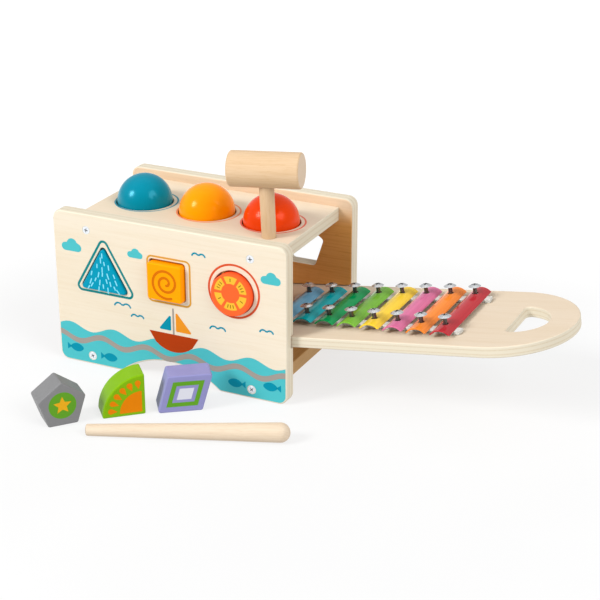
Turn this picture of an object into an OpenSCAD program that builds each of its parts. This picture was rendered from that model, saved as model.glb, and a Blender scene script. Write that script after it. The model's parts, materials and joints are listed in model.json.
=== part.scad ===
// Ball pounding bench with a pull-out xylophone, sorter blocks, a hammer and a mallet stick.
// Millimetres, +Z up. The panels run along X, the board pulls out towards +X on a rising groove,
// and the front panel is on the -Y side. The origin is on the floor, under the middle of the whole set.

/* [Box] */
// Length of the two side panels
box_l = 215; // [200:1:240]
// Height of the side panels
box_h = 135; // [130:1:150]
// Plywood thickness of the side panels
panel_t = 12; // [10:0.5:15]
// Clear width between the side panels
inner_w = 114; // [108:1:124]
// Corner radius of the side panels
corner_r = 8; // [3:0.5:12]
// Width of the arch under each panel
arch_w = 92; // [60:1:110]
// Height of the arch under each panel
arch_h = 17; // [10:0.5:22]
// Radius that rounds the inner corner of each foot
foot_r = 6; // [2:0.5:8]

/* [Top board] */
// Length of the top board
top_l = 190; // [182:1:200]
// Thickness of the top board
top_t = 12; // [9:0.5:15]
// How far the top board lies below the top edge of the panels
top_drop = 8; // [2:0.5:12]
// Spacing of the ball holes and of the sorter holes below them
pitch = 60; // [57:0.5:62]
// Diameter of a ball hole
ball_hole_d = 49; // [48:0.5:51]

/* [Balls and grip rings] */
// Diameter of a ball
ball_d = 47; // [45.6:0.1:48]
// Gap between a resting ball and the lip of its grip ring
ball_gap = 0.3; // [0.1:0.05:0.5]
// Outer diameter of a rubber grip ring
ring_od = 53; // [51.5:0.5:55]
// Inner diameter of a rubber grip ring
ring_id = 43.7; // [42:0.1:45]
// Thickness of a rubber grip ring
ring_t = 4; // [3:0.25:5]
// Chamfer on the lip of a grip ring
ring_lip = 0.8; // [0.3:0.1:1.2]
// Clearance round a grip ring in its counterbore
ring_clear = 0.1; // [0.05:0.05:0.3]

/* [Braces and panel screws] */
// Width of a lower cross brace
brace_w = 26; // [16:1:36]
// Thickness of a lower cross brace
brace_t = 12; // [9:0.5:14]
// Height of a lower brace above the floor
brace_z = 2; // [1:0.5:4]
// Distance from the panel's end to its screws
screw_inset = 32; // [26:0.5:40]
// Head diameter of a panel screw
screw_head_d = 7.2; // [6:0.2:9]
// Shank diameter of a panel screw
screw_d = 3.6; // [3:0.1:4.5]
// Depth that a panel screw reaches into the board behind the panel
screw_reach = 14; // [10:1:16]
// Clearance round every screw in its hole
screw_clear = 0.1; // [0.05:0.05:0.3]

/* [Xylophone board] */
// Thickness of the xylophone board
board_t = 9; // [7:0.5:11]
// Length of the xylophone board
board_l = 275; // [265:1:290]
// Slope of the board and its grooves, in degrees
tilt = 8; // [4:0.5:9]
// Height of the board's upper face at the right end of the box
board_z = 57.2; // [54:0.2:60]
// How far the rounded end stands out from the box, along the board
board_out = 215.5; // [210:0.5:225]
// Depth of the grooves in the panels
groove_depth = 4; // [3:0.25:5]
// Side gap between the board and a groove's floor
board_side_gap = 1; // [0.5:0.1:2]
// Gap under the board in its grooves
groove_under = 0.15; // [0.1:0.05:0.4]
// Gap over the board in its grooves
groove_over = 0.85; // [0.4:0.05:1.5]
// Plain panel left in front of the closed end of the grooves
groove_stop = 8; // [6:0.5:14]
// Radius of the half-round finger hole
finger_r = 27; // [22:0.5:32]
// Distance from the board's rounded end to the straight side of the finger hole
finger_from_end = 49.5; // [42:0.5:56]
// Corner radius of the finger hole
finger_corner_r = 4; // [2:0.5:6]

/* [Tone bars] */
// Spacing of the tone bars along the board
bar_pitch = 20.6; // [18:0.1:21]
// Distance from the last bar's middle to the board's rounded end
bar_from_end = 94.5; // [92:0.5:100]
// Width of a tone bar
bar_w = 17; // [13:0.25:18]
// Rise of a bar's arched section
bar_rise = 4.2; // [3:0.1:5]
// Sheet thickness of a bar
bar_t = 1.2; // [0.8:0.1:1.6]
// Length of the longest bar
bar_long = 97; // [92:0.5:102]
// How much each bar is shorter than the one before
bar_step = 4; // [2:0.25:5]
// Spacing of the two screws in the longest bar
node_long = 68; // [62:0.5:70]
// How much each bar's screw spacing is shorter than the one before
node_step = 3.25; // [1:0.25:3.5]
// Diameter of the holes in a bar
bar_hole_d = 5; // [4.4:0.1:6]
// Thickness of the felt rails under the bars
rail_t = 3; // [2:0.25:4]
// Width of the felt rails
rail_w = 9; // [6:0.5:12]
// How far a rail reaches past the outer edge of the last bar at each end
rail_past = 4.5; // [2:0.5:9]
// Shank diameter of a bar screw
pin_d = 3.4; // [2.6:0.1:4]
// Head diameter of a bar screw
pin_head_d = 10.4; // [8:0.2:11.4]
// Height of a bar screw's domed head
pin_head_h = 2.5; // [2:0.1:3.6]
// Free height between a bar and the head of its screw
pin_free = 5.2; // [2:0.1:6]
// Depth that a bar screw reaches into the board
pin_reach = 6; // [4:0.5:6.5]

/* [Sorter blocks] */
// Depth of every sorter block
block_t = 22; // [18:0.5:26]
// Clearance between a block and its hole, all round
block_clear = 1; // [0.6:0.1:1.5]
// Gap left under a block that lies in its hole
block_sit = 0.3; // [0.1:0.05:0.5]
// Distance from the underside of the top board to the middle of the sorter holes
hole_below = 25; // [24:0.5:27]
// Side of the triangular block, corner to corner before rounding
tri_side = 44.5; // [38:0.5:46]
// Width of the square block
square_w = 31.5; // [28:0.5:35]
// Diameter of the round block
round_d = 35.5; // [30:0.5:38]
// Side of the pentagonal block
pent_side = 24; // [20:0.5:25]
// Radius of the quarter-round block
quarter_r = 34.5; // [28:0.5:37]
// Lower edge of the rhombic block, corner to corner before rounding
rhomb_w = 36; // [28:0.5:38]
// Height of the rhombic block
rhomb_h = 31.5; // [28:0.5:35]
// Sharp angle of the rhombic block, in degrees
rhomb_angle = 74; // [65:1:80]
// Corner radius of the blocks
block_r = 2; // [1:0.25:3]
// How far the triangular block stands out of the front panel
tri_out = 2; // [0:0.5:8]
// How far the square block stands out of the front panel
square_out = 5.5; // [4:0.5:12]
// How far the round block stands out of the front panel
round_out = 5; // [0:0.5:8]

/* [Hammer] */
// Diameter of the hammer's head
head_d = 29; // [26:0.2:32]
// Length of the hammer's head
head_l = 59; // [50:0.5:62]
// Chamfer on both ends of the head
head_chamfer = 1; // [0.5:0.25:2]
// Turn of the parked head about its handle, in degrees
head_turn = 12; // [6:0.5:20]
// Lean of the parked hammer and its hole, in degrees
head_lean = 2.2; // [0:0.1:3]
// Handle diameter under the head
handle_d = 12.2; // [11.4:0.1:13]
// Handle diameter at its free end
handle_end_d = 11.2; // [10:0.1:11.4]
// Handle length below the head
handle_l = 95; // [85:0.5:97]
// Handle length seated in the head
handle_seat = 20; // [14:0.5:24]
// Handle length that shows between the head and the top board
handle_show = 41.8; // [36:0.2:50]
// Gap round the handle in the head and at the mouth of its hole
handle_clear = 0.08; // [0.05:0.01:0.1]
// Distance from the right end of the panels to the handle
park_x = 33.8; // [29:0.1:36]
// Distance from the front panel's inner face to the handle
park_y = 25; // [22:0.5:26]

/* [Mallet stick] */
// Length of the mallet stick
mallet_l = 158.5; // [140:0.5:180]
// Diameter at the thin end
mallet_thin_d = 9.2; // [7:0.2:11]
// Diameter at the thick end
mallet_thick_d = 15.6; // [13:0.2:18]
// Chamfer at the thin end
mallet_chamfer = 0.8; // [0.4:0.1:1.5]

/* [Loose pieces on the floor] */
// Distance from the left end of the panels to the mallet's thin end
mallet_x = 96.5; // [80:0.5:120]
// Distance from the front panel to the mallet's thin end
mallet_y = 111.5; // [104:0.5:122]
// Turn of the mallet on the floor, in degrees
mallet_turn = 21.5; // [16:0.5:25]
// Place of the pentagonal block's lower left corner from the left end of the panels
pent_x = 64; // [55:0.5:70]
// Distance from the front panel to that corner
pent_y = 114.5; // [108:0.5:118]
// Turn of the pentagonal block, in degrees
pent_turn = 50; // [44:1:56]
// Place of the quarter-round block's lower left corner from the left end of the panels
quarter_x = 94; // [90:0.5:98]
// Distance from the front panel to that corner
quarter_y = 83.5; // [78:0.5:86]
// Turn of the quarter-round block, in degrees
quarter_turn = 42; // [38:1:46]
// Place of the rhombic block's lower left corner from the left end of the panels
rhomb_x = 128.3; // [124:0.1:134]
// Distance from the front panel to that corner
rhomb_y = 56.6; // [53:0.1:61]
// Turn of the rhombic block, in degrees
rhomb_turn = 36; // [32:1:40]

/* [Hidden] */
$fn = 96;
// Overshoot of a cut past the face that it opens
eps = 1;
// Straight steps round the corner of a block
corner_steps = 6;
// Overlap of two arcs where one runs into the other
blend_lap = 0.005;
bar_colours = ["#c8202c", "#f07818", "#cf5f9c", "#f2c81c", "#72b63a", "#158a4e", "#14a0b8", "#7fa9c4"];
bar_count = len(bar_colours);
depth = inner_w + 2 * panel_t;
mid_x = box_l / 2;
mid_y = depth / 2;
back_y = depth - panel_t;
top_z = box_h - top_drop;
hole_z = top_z - top_t - hole_below;
columns = [for (i = [-1 : 1]) mid_x + i * pitch];

// Arch: a circle through the crown and both ends of the opening
arch_radius = (pow(arch_w / 2, 2) + pow(arch_h, 2)) / (2 * arch_h);
arch_centre_z = arch_h - arch_radius;
foot_x = sqrt(pow(arch_radius + foot_r, 2) - pow(foot_r - arch_centre_z, 2));

// Balls sit on the chamfered lip of their rings, on its upper or its lower edge
ring_top_z = top_z - top_t + ring_t;
lip_r = ring_id / 2 + ring_lip;
ball_reach = ball_d / 2 + ball_gap;
function seat_above(edge_r) = sqrt(pow(ball_reach, 2) - pow(edge_r, 2));
ball_z = ring_top_z + max(seat_above(lip_r), seat_above(ring_id / 2) - ring_lip);

brace_l = inner_w;
low_screw_z = brace_z + brace_t / 2;
high_screw_z = top_z - top_t / 2;
screw_sites = [for (x = [screw_inset, box_l - screw_inset]) for (z = [low_screw_z, high_screw_z]) [x, z]];

// Board: s runs along the slope from the right end of the box
board_w = inner_w + 2 * (groove_depth - board_side_gap);
board_left = board_out - board_l;
board_round = board_out - board_w / 2;
finger_s = board_out - finger_from_end;
groove_left = -(box_l - groove_stop) / cos(tilt);
bar_r = (pow(bar_w / 2, 2) + pow(bar_rise, 2)) / (2 * bar_rise);
pin_head_z = rail_t + bar_rise + pin_free;
function bar_s(i) = board_out - bar_from_end - i * bar_pitch;
function bar_len(i) = bar_long - i * bar_step;
function pin_y(i) = (node_long - i * node_step) / 2;
rail_turn = atan(node_step / 2 / bar_pitch);
rail_from = bar_s(bar_count - 1) - bar_w / 2 - rail_past;
rail_to = bar_s(0) + bar_w / 2 + rail_past;

park = [box_l - park_x, panel_t + park_y];
head_up = handle_show + head_d / 2;
handle_at_board = handle_d - (handle_d - handle_end_d) * handle_show / handle_l;
park_hole_d = handle_at_board + 2 * handle_clear;

rhomb_lean = rhomb_h / tan(rhomb_angle);

mallet_ball_r = mallet_thick_d / 2;
mallet_cone_l = mallet_l - mallet_ball_r;
mallet_lean = asin((mallet_thick_d - mallet_thin_d) / 2 / mallet_cone_l);

// Origin under the middle of everything that stands on the floor
set_right = box_l + board_out * cos(tilt) + board_t * sin(tilt);
mallet_front = -mallet_y - mallet_thin_d / 2 * cos(mallet_turn);
pent_left = pent_side / 2 * (1 - cos(18) / sin(36)) + block_r * (cos(18) / sin(54) - 1);
pent_front = -pent_y + pent_left * sin(pent_turn);
set_front = min(mallet_front, pent_front);
origin = [set_right / 2, (depth + set_front) / 2, 0];

// Outline helpers: convex outlines run anticlockwise
function unit(v) = v / norm(v);
function around(points, i) = [for (k = [-1 : 1]) points[(i + k + len(points)) % len(points)]];
function half_angle(t) = acos(unit(t[0] - t[1]) * unit(t[2] - t[1])) / 2;
function inward(t) = unit(unit(t[0] - t[1]) + unit(t[2] - t[1]));
function grown(points, d) = [for (i = [0 : len(points) - 1])
    let (t = around(points, i)) t[1] - inward(t) * d / sin(half_angle(t))];
function rounded(points, r) = [for (i = [0 : len(points) - 1])
    let (t = around(points, i), half = half_angle(t), c = t[1] + inward(t) * r / sin(half),
         start = t[1] + unit(t[0] - t[1]) * r / tan(half) - c, a = atan2(start[1], start[0]))
    for (k = [0 : corner_steps]) let (b = a + (180 - 2 * half) * k / corner_steps)
        c + r * [cos(b), sin(b)]];
function ngon(n, side) = [for (i = [0 : n - 1])
    let (a = -90 - 180 / n + 360 / n * (i + 1)) side / 2 / sin(180 / n) * [cos(a), sin(a)]];
function raised(points) = let (low = min([for (q = points) q[1]])) [for (q = points) q - [0, low]];
function tall(points) = max([for (q = points) q[1]]) - min([for (q = points) q[1]]);
function middled(points) = [for (q = raised(points)) q - [0, tall(points) / 2]];

triangle = middled(ngon(3, tri_side));
square_outline = middled(ngon(4, square_w));
pentagon = middled(ngon(5, pent_side));
rhombus = [for (q = [[-1, -1], [1, -1], [1, 1], [-1, 1]])
    [q[0] * rhomb_w + q[1] * rhomb_lean, q[1] * rhomb_h] / 2];

module soft_outline(points, extra = 0) {
    polygon(rounded(grown(points, extra), block_r + extra));
}

module quarter_outline(extra = 0) {
    translate([quarter_r / 2, -quarter_r / 2])
    intersection() {
        circle(r = quarter_r + extra);
        translate([-quarter_r - 2 * extra, -extra]) square(quarter_r + 3 * extra);
    }
}

// Places
module in_set() { translate(-origin) children(); }
module along_y(y, length) {
    translate([0, y + length, 0]) rotate([90, 0, 0]) linear_extrude(length) children();
}
module on_board() { translate([box_l, mid_y, board_z]) rotate([0, -tilt, 0]) children(); }
module on_floor(x, y, turn) { translate([x, -y, 0]) rotate([0, 0, turn]) children(); }

module rounded_rect(w, h, r) {
    for (x = [r, w - r]) for (z = [r, h - r]) translate([x, z]) circle(r);
    translate([r, 0]) square([w - 2 * r, h]);
    translate([0, r]) square([w, h - 2 * r]);
}

// Opening under a panel, with the feet rounded where the arch meets the floor
module arch_opening() {
    tangent = foot_r / (arch_radius + foot_r);
    difference() {
        union() {
            translate([0, arch_centre_z]) circle(arch_radius);
            for (side = [-1, 1]) polygon([[0, -eps], [side * foot_x, -eps], [side * foot_x, foot_r],
                [side * foot_x * (1 - tangent), foot_r + (arch_centre_z - foot_r) * tangent], [0, 0]]);
        }
        for (side = [-1, 1]) translate([side * foot_x, foot_r]) circle(foot_r + blend_lap);
    }
}

module panel_outline() {
    difference() {
        rounded_rect(box_l, box_h, corner_r);
        translate([mid_x, 0]) arch_opening();
    }
}

module sorter_hole(column) { translate([columns[column], hole_z]) children(); }

// Countersunk screw pointing along +Y, its head flush at y = 0
module panel_screw(extra) {
    sink = (screw_head_d - screw_d) / 2;
    rotate([-90, 0, 0]) {
        cylinder(d = screw_d + 2 * extra, h = panel_t + screw_reach + extra);
        cylinder(d1 = screw_head_d + 2 * extra, d2 = screw_d + 2 * extra, h = sink);
    }
}

module screw_row(extra) { for (q = screw_sites) translate([q[0], 0, q[1]]) panel_screw(extra); }
module mirror_back() { translate([0, depth, 0]) mirror([0, 1, 0]) children(); }
module all_panel_screws(extra) {
    screw_row(extra);
    mirror_back() screw_row(extra);
}

// Sloping groove in the inner face of the front panel, open at the right end
module groove() {
    translate([0, -mid_y, 0]) on_board()
    translate([groove_left, panel_t - groove_depth, -board_t - groove_under])
    cube([corner_r - groove_left, groove_depth + eps, board_t + groove_under + groove_over]);
}

module front_panel() in_set() color("#ecd9b8") difference() {
    along_y(0, panel_t) difference() {
        panel_outline();
        sorter_hole(0) soft_outline(triangle, block_clear);
        sorter_hole(1) soft_outline(square_outline, block_clear);
        sorter_hole(2) circle(d = round_d + 2 * block_clear);
    }
    groove();
    screw_row(screw_clear);
}

module back_panel() in_set() color("#ecd9b8") difference() {
    along_y(back_y, panel_t) difference() {
        panel_outline();
        sorter_hole(0) quarter_outline(block_clear);
        sorter_hole(1) soft_outline(rhombus, block_clear);
        sorter_hole(2) soft_outline(pentagon, block_clear);
    }
    mirror_back() groove();
    mirror_back() screw_row(screw_clear);
}

module top_board() in_set() color("#e9d3ae") difference() {
    translate([mid_x - top_l / 2, panel_t, top_z - top_t]) cube([top_l, inner_w, top_t]);
    for (x = columns) translate([x, mid_y, top_z - top_t]) {
        translate([0, 0, -eps]) cylinder(d = ball_hole_d, h = top_t + 2 * eps);
        translate([0, 0, -eps]) cylinder(d = ring_od + 2 * ring_clear, h = ring_t + eps);
    }
    parked() translate([0, 0, -top_t - 2 * eps]) cylinder(d = park_hole_d, h = top_t + 4 * eps);
    all_panel_screws(screw_clear);
}

module brace(x) in_set() color("#dfc69d") difference() {
    translate([x - brace_w / 2, panel_t, brace_z]) cube([brace_w, brace_l, brace_t]);
    all_panel_screws(screw_clear);
}

module brace_left() brace(screw_inset);
module brace_right() brace(box_l - screw_inset);

module front_screws() in_set() color("silver") screw_row(0);
module back_screws() in_set() color("silver") mirror_back() screw_row(0);

module grip_ring(column) in_set() color("#2b2b2b")
    translate([columns[column], mid_y, top_z - top_t])
    difference() {
        cylinder(d = ring_od, h = ring_t);
        translate([0, 0, -eps]) cylinder(d = ring_id, h = ring_t + 2 * eps);
        translate([0, 0, ring_t - ring_lip]) cylinder(r1 = ring_id / 2, r2 = lip_r, h = ring_lip);
    }

module grip_ring_left() grip_ring(0);
module grip_ring_middle() grip_ring(1);
module grip_ring_right() grip_ring(2);

module ball(column, paint) in_set() color(paint)
    translate([columns[column], mid_y, ball_z]) sphere(d = ball_d);

module ball_left() ball(0, "#0a86a8");
module ball_middle() ball(1, "#f39a12");
module ball_right() ball(2, "#ea5420");

module finger_hole() {
    reach = sqrt(pow(finger_r - finger_corner_r, 2) - pow(finger_corner_r, 2));
    corner = [finger_corner_r, reach];
    intersection() {
        circle(finger_r);
        polygon([[0, 0], [corner[0], -corner[1]] * 2, [2 * finger_r, -corner[1]],
            [2 * finger_r, corner[1]], corner * 2]);
    }
    for (side = [-1, 1]) {
        polygon([[0, 0], [corner[0], side * corner[1]], [0, side * corner[1]]]);
        translate([corner[0], side * corner[1]]) circle(finger_corner_r + blend_lap);
    }
}

module pin_sites(side) {
    for (i = [0 : bar_count - 1]) translate([bar_s(i), side * pin_y(i), 0]) children();
}

module pin_hole() {
    translate([0, 0, -pin_reach]) cylinder(d = pin_d + 2 * screw_clear, h = pin_reach + rail_t + eps);
}

module xylophone_board() in_set() color("#ead6b2") on_board() difference() {
    translate([0, 0, -board_t]) linear_extrude(board_t) difference() {
        union() {
            translate([board_left, -board_w / 2]) square([board_round - board_left, board_w]);
            translate([board_round, 0]) circle(board_w / 2);
        }
        translate([finger_s, 0]) finger_hole();
    }
    for (side = [-1, 1]) pin_sites(side) pin_hole();
}

// Felt rail under one row of screws, which draw together towards the short bars
module rail(side) in_set() color("#f4f2ee") on_board() difference() {
    translate([bar_s(0), side * pin_y(0), 0]) rotate([0, 0, side * rail_turn])
    translate([rail_from - bar_s(0), -rail_w / 2, 0]) cube([rail_to - rail_from, rail_w, rail_t]);
    pin_sites(side) pin_hole();
}

module front_rail() rail(-1);
module back_rail() rail(1);

// Tone bar: a shallow arched strip of sheet metal with a hole for each screw
module bar(i) in_set() color(bar_colours[i]) on_board() translate([bar_s(i), 0, rail_t]) difference() {
    along_y(-bar_len(i) / 2, bar_len(i)) translate([0, bar_rise - bar_r]) intersection() {
        difference() {
            circle(bar_r);
            circle(bar_r - bar_t);
        }
        translate([-bar_w, bar_r - bar_rise]) square([2 * bar_w, 2 * bar_rise]);
    }
    for (side = [-1, 1]) translate([0, side * pin_y(i), 0]) cylinder(d = bar_hole_d, h = bar_rise + eps);
}

module bar_1() bar(0);
module bar_2() bar(1);
module bar_3() bar(2);
module bar_4() bar(3);
module bar_5() bar(4);
module bar_6() bar(5);
module bar_7() bar(6);
module bar_8() bar(7);

// Round-head screw that guides a bar
module bar_screw() {
    dome_r = (pow(pin_head_d / 2, 2) + pow(pin_head_h, 2)) / (2 * pin_head_h);
    translate([0, 0, -pin_reach]) cylinder(d = pin_d, h = pin_reach + pin_head_z);
    intersection() {
        translate([0, 0, pin_head_z + pin_head_h - dome_r]) sphere(dome_r);
        translate([0, 0, pin_head_z]) cylinder(d = pin_head_d, h = pin_head_h);
    }
}

module front_bar_screws() in_set() color("silver") on_board() pin_sites(-1) bar_screw();
module back_bar_screws() in_set() color("silver") on_board() pin_sites(1) bar_screw();

// The hammer's own frame, on its axis at the height of the top board's upper face
module parked() { translate([park[0], park[1], top_z]) rotate([0, -head_lean, head_turn]) children(); }

module hammer_head() in_set() color("#e3bd84") parked() translate([0, 0, head_up]) difference() {
    rotate([0, 90, 0]) translate([0, 0, -head_l / 2]) {
        translate([0, 0, head_chamfer]) cylinder(d = head_d, h = head_l - 2 * head_chamfer);
        cylinder(d1 = head_d - 2 * head_chamfer, d2 = head_d, h = head_chamfer);
        translate([0, 0, head_l - head_chamfer])
        cylinder(d1 = head_d, d2 = head_d - 2 * head_chamfer, h = head_chamfer);
    }
    translate([0, 0, -head_d / 2 - eps]) cylinder(d = handle_d + 2 * handle_clear, h = handle_seat + eps);
}

// Turned handle, tapered so that it wedges in the mouth of its hole
module hammer_handle() in_set() color("#e3bd84") parked() translate([0, 0, handle_show]) {
    cylinder(d = handle_d, h = handle_seat);
    translate([0, 0, -handle_l]) cylinder(d1 = handle_end_d, d2 = handle_d, h = handle_l);
}

// Tapered stick lying on its side
module mallet_stick() in_set() color("#efd7ae") on_floor(mallet_x, mallet_y, mallet_turn)
    translate([0, 0, mallet_thin_d / 2]) rotate([0, 90 - mallet_lean, 0]) {
        cylinder(d1 = mallet_thin_d - 2 * mallet_chamfer, d2 = mallet_thin_d, h = mallet_chamfer);
        translate([0, 0, mallet_chamfer])
        cylinder(d1 = mallet_thin_d, d2 = mallet_thick_d, h = mallet_cone_l - mallet_chamfer);
        translate([0, 0, mallet_cone_l]) sphere(mallet_ball_r);
    }

// Block that lies in a hole of the front panel, on the hole's lower edge
module in_front_hole(column, out) {
    along_y(-out, block_t) translate([0, block_sit - block_clear]) sorter_hole(column) children();
}

module triangle_block() in_set() color("#1b9fbe") in_front_hole(0, tri_out) soft_outline(triangle);
module square_block() in_set() color("#f6b31e") in_front_hole(1, square_out) soft_outline(square_outline);
module round_block() in_set() color("#ef5a2a") in_front_hole(2, round_out) circle(d = round_d);

// Blocks standing on the floor on their lower edge
module pentagon_block() in_set() color("#8d8d8d") on_floor(pent_x, pent_y, pent_turn)
    along_y(0, block_t) translate([pent_side / 2, 0]) soft_outline(raised(pentagon));

module quarter_block() in_set() color("#8cc01f") on_floor(quarter_x, quarter_y, quarter_turn)
    along_y(0, block_t) translate([quarter_r / 2, quarter_r / 2]) quarter_outline();

module rhombus_block() in_set() color("#a2a2d4") on_floor(rhomb_x, rhomb_y, rhomb_turn)
    along_y(0, block_t) translate([(rhomb_w + rhomb_lean) / 2, 0]) soft_outline(raised(rhombus));

front_panel();
back_panel();
top_board();
brace_left();
brace_right();
front_screws();
back_screws();
grip_ring_left();
grip_ring_middle();
grip_ring_right();
ball_left();
ball_middle();
ball_right();
xylophone_board();
front_rail();
back_rail();
front_bar_screws();
back_bar_screws();
bar_1();
bar_2();
bar_3();
bar_4();
bar_5();
bar_6();
bar_7();
bar_8();
hammer_head();
hammer_handle();
mallet_stick();
triangle_block();
square_block();
round_block();
pentagon_block();
quarter_block();
rhombus_block();
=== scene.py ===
"""Ball pounding bench with a pull-out xylophone, dressed around its CAD frame.

Fields hold millimetres and degrees unless their text says otherwise, and meshes hold metres. The
front panel faces -Y, the xylophone board pulls out towards +X, and +Z is up.
"""

import json
import logging
import math
from dataclasses import dataclass, field
from enum import Enum
from typing import Any, Callable, Protocol

import bpy
from mathutils import Matrix, Vector


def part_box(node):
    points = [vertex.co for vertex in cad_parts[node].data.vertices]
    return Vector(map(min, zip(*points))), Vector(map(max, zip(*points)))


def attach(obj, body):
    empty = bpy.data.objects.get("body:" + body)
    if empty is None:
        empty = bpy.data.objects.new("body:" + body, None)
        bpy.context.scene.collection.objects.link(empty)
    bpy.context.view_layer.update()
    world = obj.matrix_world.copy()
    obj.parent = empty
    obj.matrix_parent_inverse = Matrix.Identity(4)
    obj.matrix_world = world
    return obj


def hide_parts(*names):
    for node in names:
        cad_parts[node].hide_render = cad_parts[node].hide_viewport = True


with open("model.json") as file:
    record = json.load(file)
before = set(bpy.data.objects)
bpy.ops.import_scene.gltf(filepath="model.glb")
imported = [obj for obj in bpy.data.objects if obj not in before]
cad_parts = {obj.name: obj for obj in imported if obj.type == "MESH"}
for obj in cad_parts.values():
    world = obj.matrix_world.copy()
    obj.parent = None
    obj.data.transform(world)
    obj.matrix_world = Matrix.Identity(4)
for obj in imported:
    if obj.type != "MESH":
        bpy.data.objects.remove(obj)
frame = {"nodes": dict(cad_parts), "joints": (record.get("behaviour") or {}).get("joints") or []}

# Metres in a millimetre
MM = 0.001
# Distance within which points are welded, in metres
WELD = 1e-6
# Largest angle between faces that are merged into one flat face, in degrees
FLAT = 0.3
# Least angle between two faces whose edge is eased, in degrees: on boards, and on round pieces
BOARD_SHARP = 50.0
ROUND_SHARP = 30.0
# Straight steps round a large printed ring
RING_STEPS = 96
log = logging.getLogger("bench")

Point = tuple[float, float]
Point3 = tuple[float, float, float]
Outline = list[Point]
Colour = tuple[float, float, float, float]
Ways = tuple[Vector, Vector, Vector]
Piece = bpy.types.Object
Material = bpy.types.Material
Socket = bpy.types.NodeSocket

ACROSS = Vector((1, 0, 0))
INWARD = Vector((0, 1, 0))
UPWARD = Vector((0, 0, 1))


def srgb(code: str) -> Colour:
    """Turn a colour code into linear light.

    Args:
        code: Six hex digits after a hash, as on a paint chart.

    Returns:
        Red, green, blue and alpha from 0 to 1.
    """
    parts = [int(code[k:k + 2], 16) / 255 for k in (1, 3, 5)]
    red, green, blue = [p / 12.92 if p <= 0.04045 else ((p + 0.055) / 1.055) ** 2.4 for p in parts]
    return (red, green, blue, 1.0)


def darker(code: str, left: float) -> Colour:
    """A colour with only a share of its light left.

    Args:
        code: Colour code to start from.
        left: Share of the light that is left.

    Returns:
        The darker colour in linear light.
    """
    red, green, blue, _ = srgb(code)
    return (red * left, green * left, blue * left, 1.0)


def tinted(code: str, white: float) -> Colour:
    """Colour of a coat's gloss, between the coat's own colour at full strength and white.

    Args:
        code: Colour code of the coat.
        white: Share of white in the gloss.

    Returns:
        The gloss's colour in linear light.
    """
    red, green, blue, _ = srgb(code)
    own = (1 - white) / max(red, green, blue)
    return (white + own * red, white + own * green, white + own * blue, 1.0)


# Outlines


def arc(middle: Point, radius: float, start: float, end: float, steps: int = 12) -> Outline:
    """Points along an arc.

    Args:
        middle: Centre of the arc.
        radius: Radius of the arc.
        start: Angle of the first point.
        end: Angle of the last point.
        steps: Straight steps between them.

    Returns:
        The points, both ends among them.
    """
    angles = [math.radians(start + (end - start) * k / steps) for k in range(steps + 1)]
    return [(middle[0] + radius * math.cos(a), middle[1] + radius * math.sin(a)) for a in angles]


def disc(middle: Point, radius: float, steps: int = 72) -> Outline:
    """Outline of a round disc."""
    return arc(middle, radius, 0, 360, steps)[:-1]


def regular(count: int, radius: float, turn: float = 90.0) -> Outline:
    """Corners of a regular polygon, the first one at the angle turn."""
    return arc((0, 0), radius, turn, turn + 360, count)[:-1]


def shifted(outline: Outline, x: float, y: float) -> Outline:
    """The outline moved by x and y."""
    return [(p[0] + x, p[1] + y) for p in outline]


def stretched(outline: Outline, x: float, y: float) -> Outline:
    """The outline stretched by x across and by y upwards."""
    return [(p[0] * x, p[1] * y) for p in outline]


def turned(outline: Outline, angle: float) -> Outline:
    """The outline turned about its zero point by an angle."""
    c, s = math.cos(math.radians(angle)), math.sin(math.radians(angle))
    return [(p[0] * c - p[1] * s, p[0] * s + p[1] * c) for p in outline]


def corner_frames(corners: Outline) -> list[tuple[Vector, Vector, Vector, float]]:
    """Directions at each corner of a convex outline that runs anticlockwise.

    Args:
        corners: The corner points.

    Returns:
        For each corner: its place, the direction back along the outline, the direction into the
        outline, and half the corner's angle in radians.
    """
    frames = []
    for k, here in enumerate(corners):
        place = Vector(here)
        back = (Vector(corners[k - 1]) - place).normalized()
        ahead = (Vector(corners[(k + 1) % len(corners)]) - place).normalized()
        frames.append((place, back, (back + ahead).normalized(), back.angle(ahead) / 2))
    return frames


def grown(corners: Outline, by: float) -> Outline:
    """Corners of the convex outline that lies a distance outside this one."""
    moved = [place - into * by / math.sin(half) for place, _, into, half in corner_frames(corners)]
    return [(p.x, p.y) for p in moved]


def rounded(corners: Outline, radius: float, steps: int = 8) -> Outline:
    """Round the corners of a convex outline.

    Args:
        corners: Corner points, anticlockwise.
        radius: Radius of every corner.
        steps: Straight steps round a corner.

    Returns:
        The rounded outline.
    """
    points: Outline = []
    for place, back, into, half in corner_frames(corners):
        middle = place + into * radius / math.sin(half)
        first = place + back * radius / math.tan(half) - middle
        start = math.degrees(math.atan2(first.y, first.x))
        end = start + 180 - math.degrees(2 * half)
        points += arc((middle.x, middle.y), radius, start, end, steps)
    return points


def stroke(path: Outline, width: float, end_steps: int = 6) -> Outline:
    """Outline of a brush stroke.

    Args:
        path: Points along the middle of the stroke.
        width: Width of the stroke.
        end_steps: Straight steps round an end.

    Returns:
        The outline, with half-round ends.
    """
    left: Outline = []
    right: Outline = []
    for k, (x, y) in enumerate(path):
        before, after = path[max(k - 1, 0)], path[min(k + 1, len(path) - 1)]
        along = math.degrees(math.atan2(after[1] - before[1], after[0] - before[0]))
        side = arc((x, y), width / 2, along - 90, along + 90, 1)
        right.append(side[0])
        left.append(side[1])
        if k == 0:
            tail = arc((x, y), width / 2, along + 90, along + 270, end_steps)[1:-1]
        if k == len(path) - 1:
            head = arc((x, y), width / 2, along - 90, along + 90, end_steps)[1:-1]
    return right + head + left[::-1] + tail


# Modelling by hand


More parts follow.
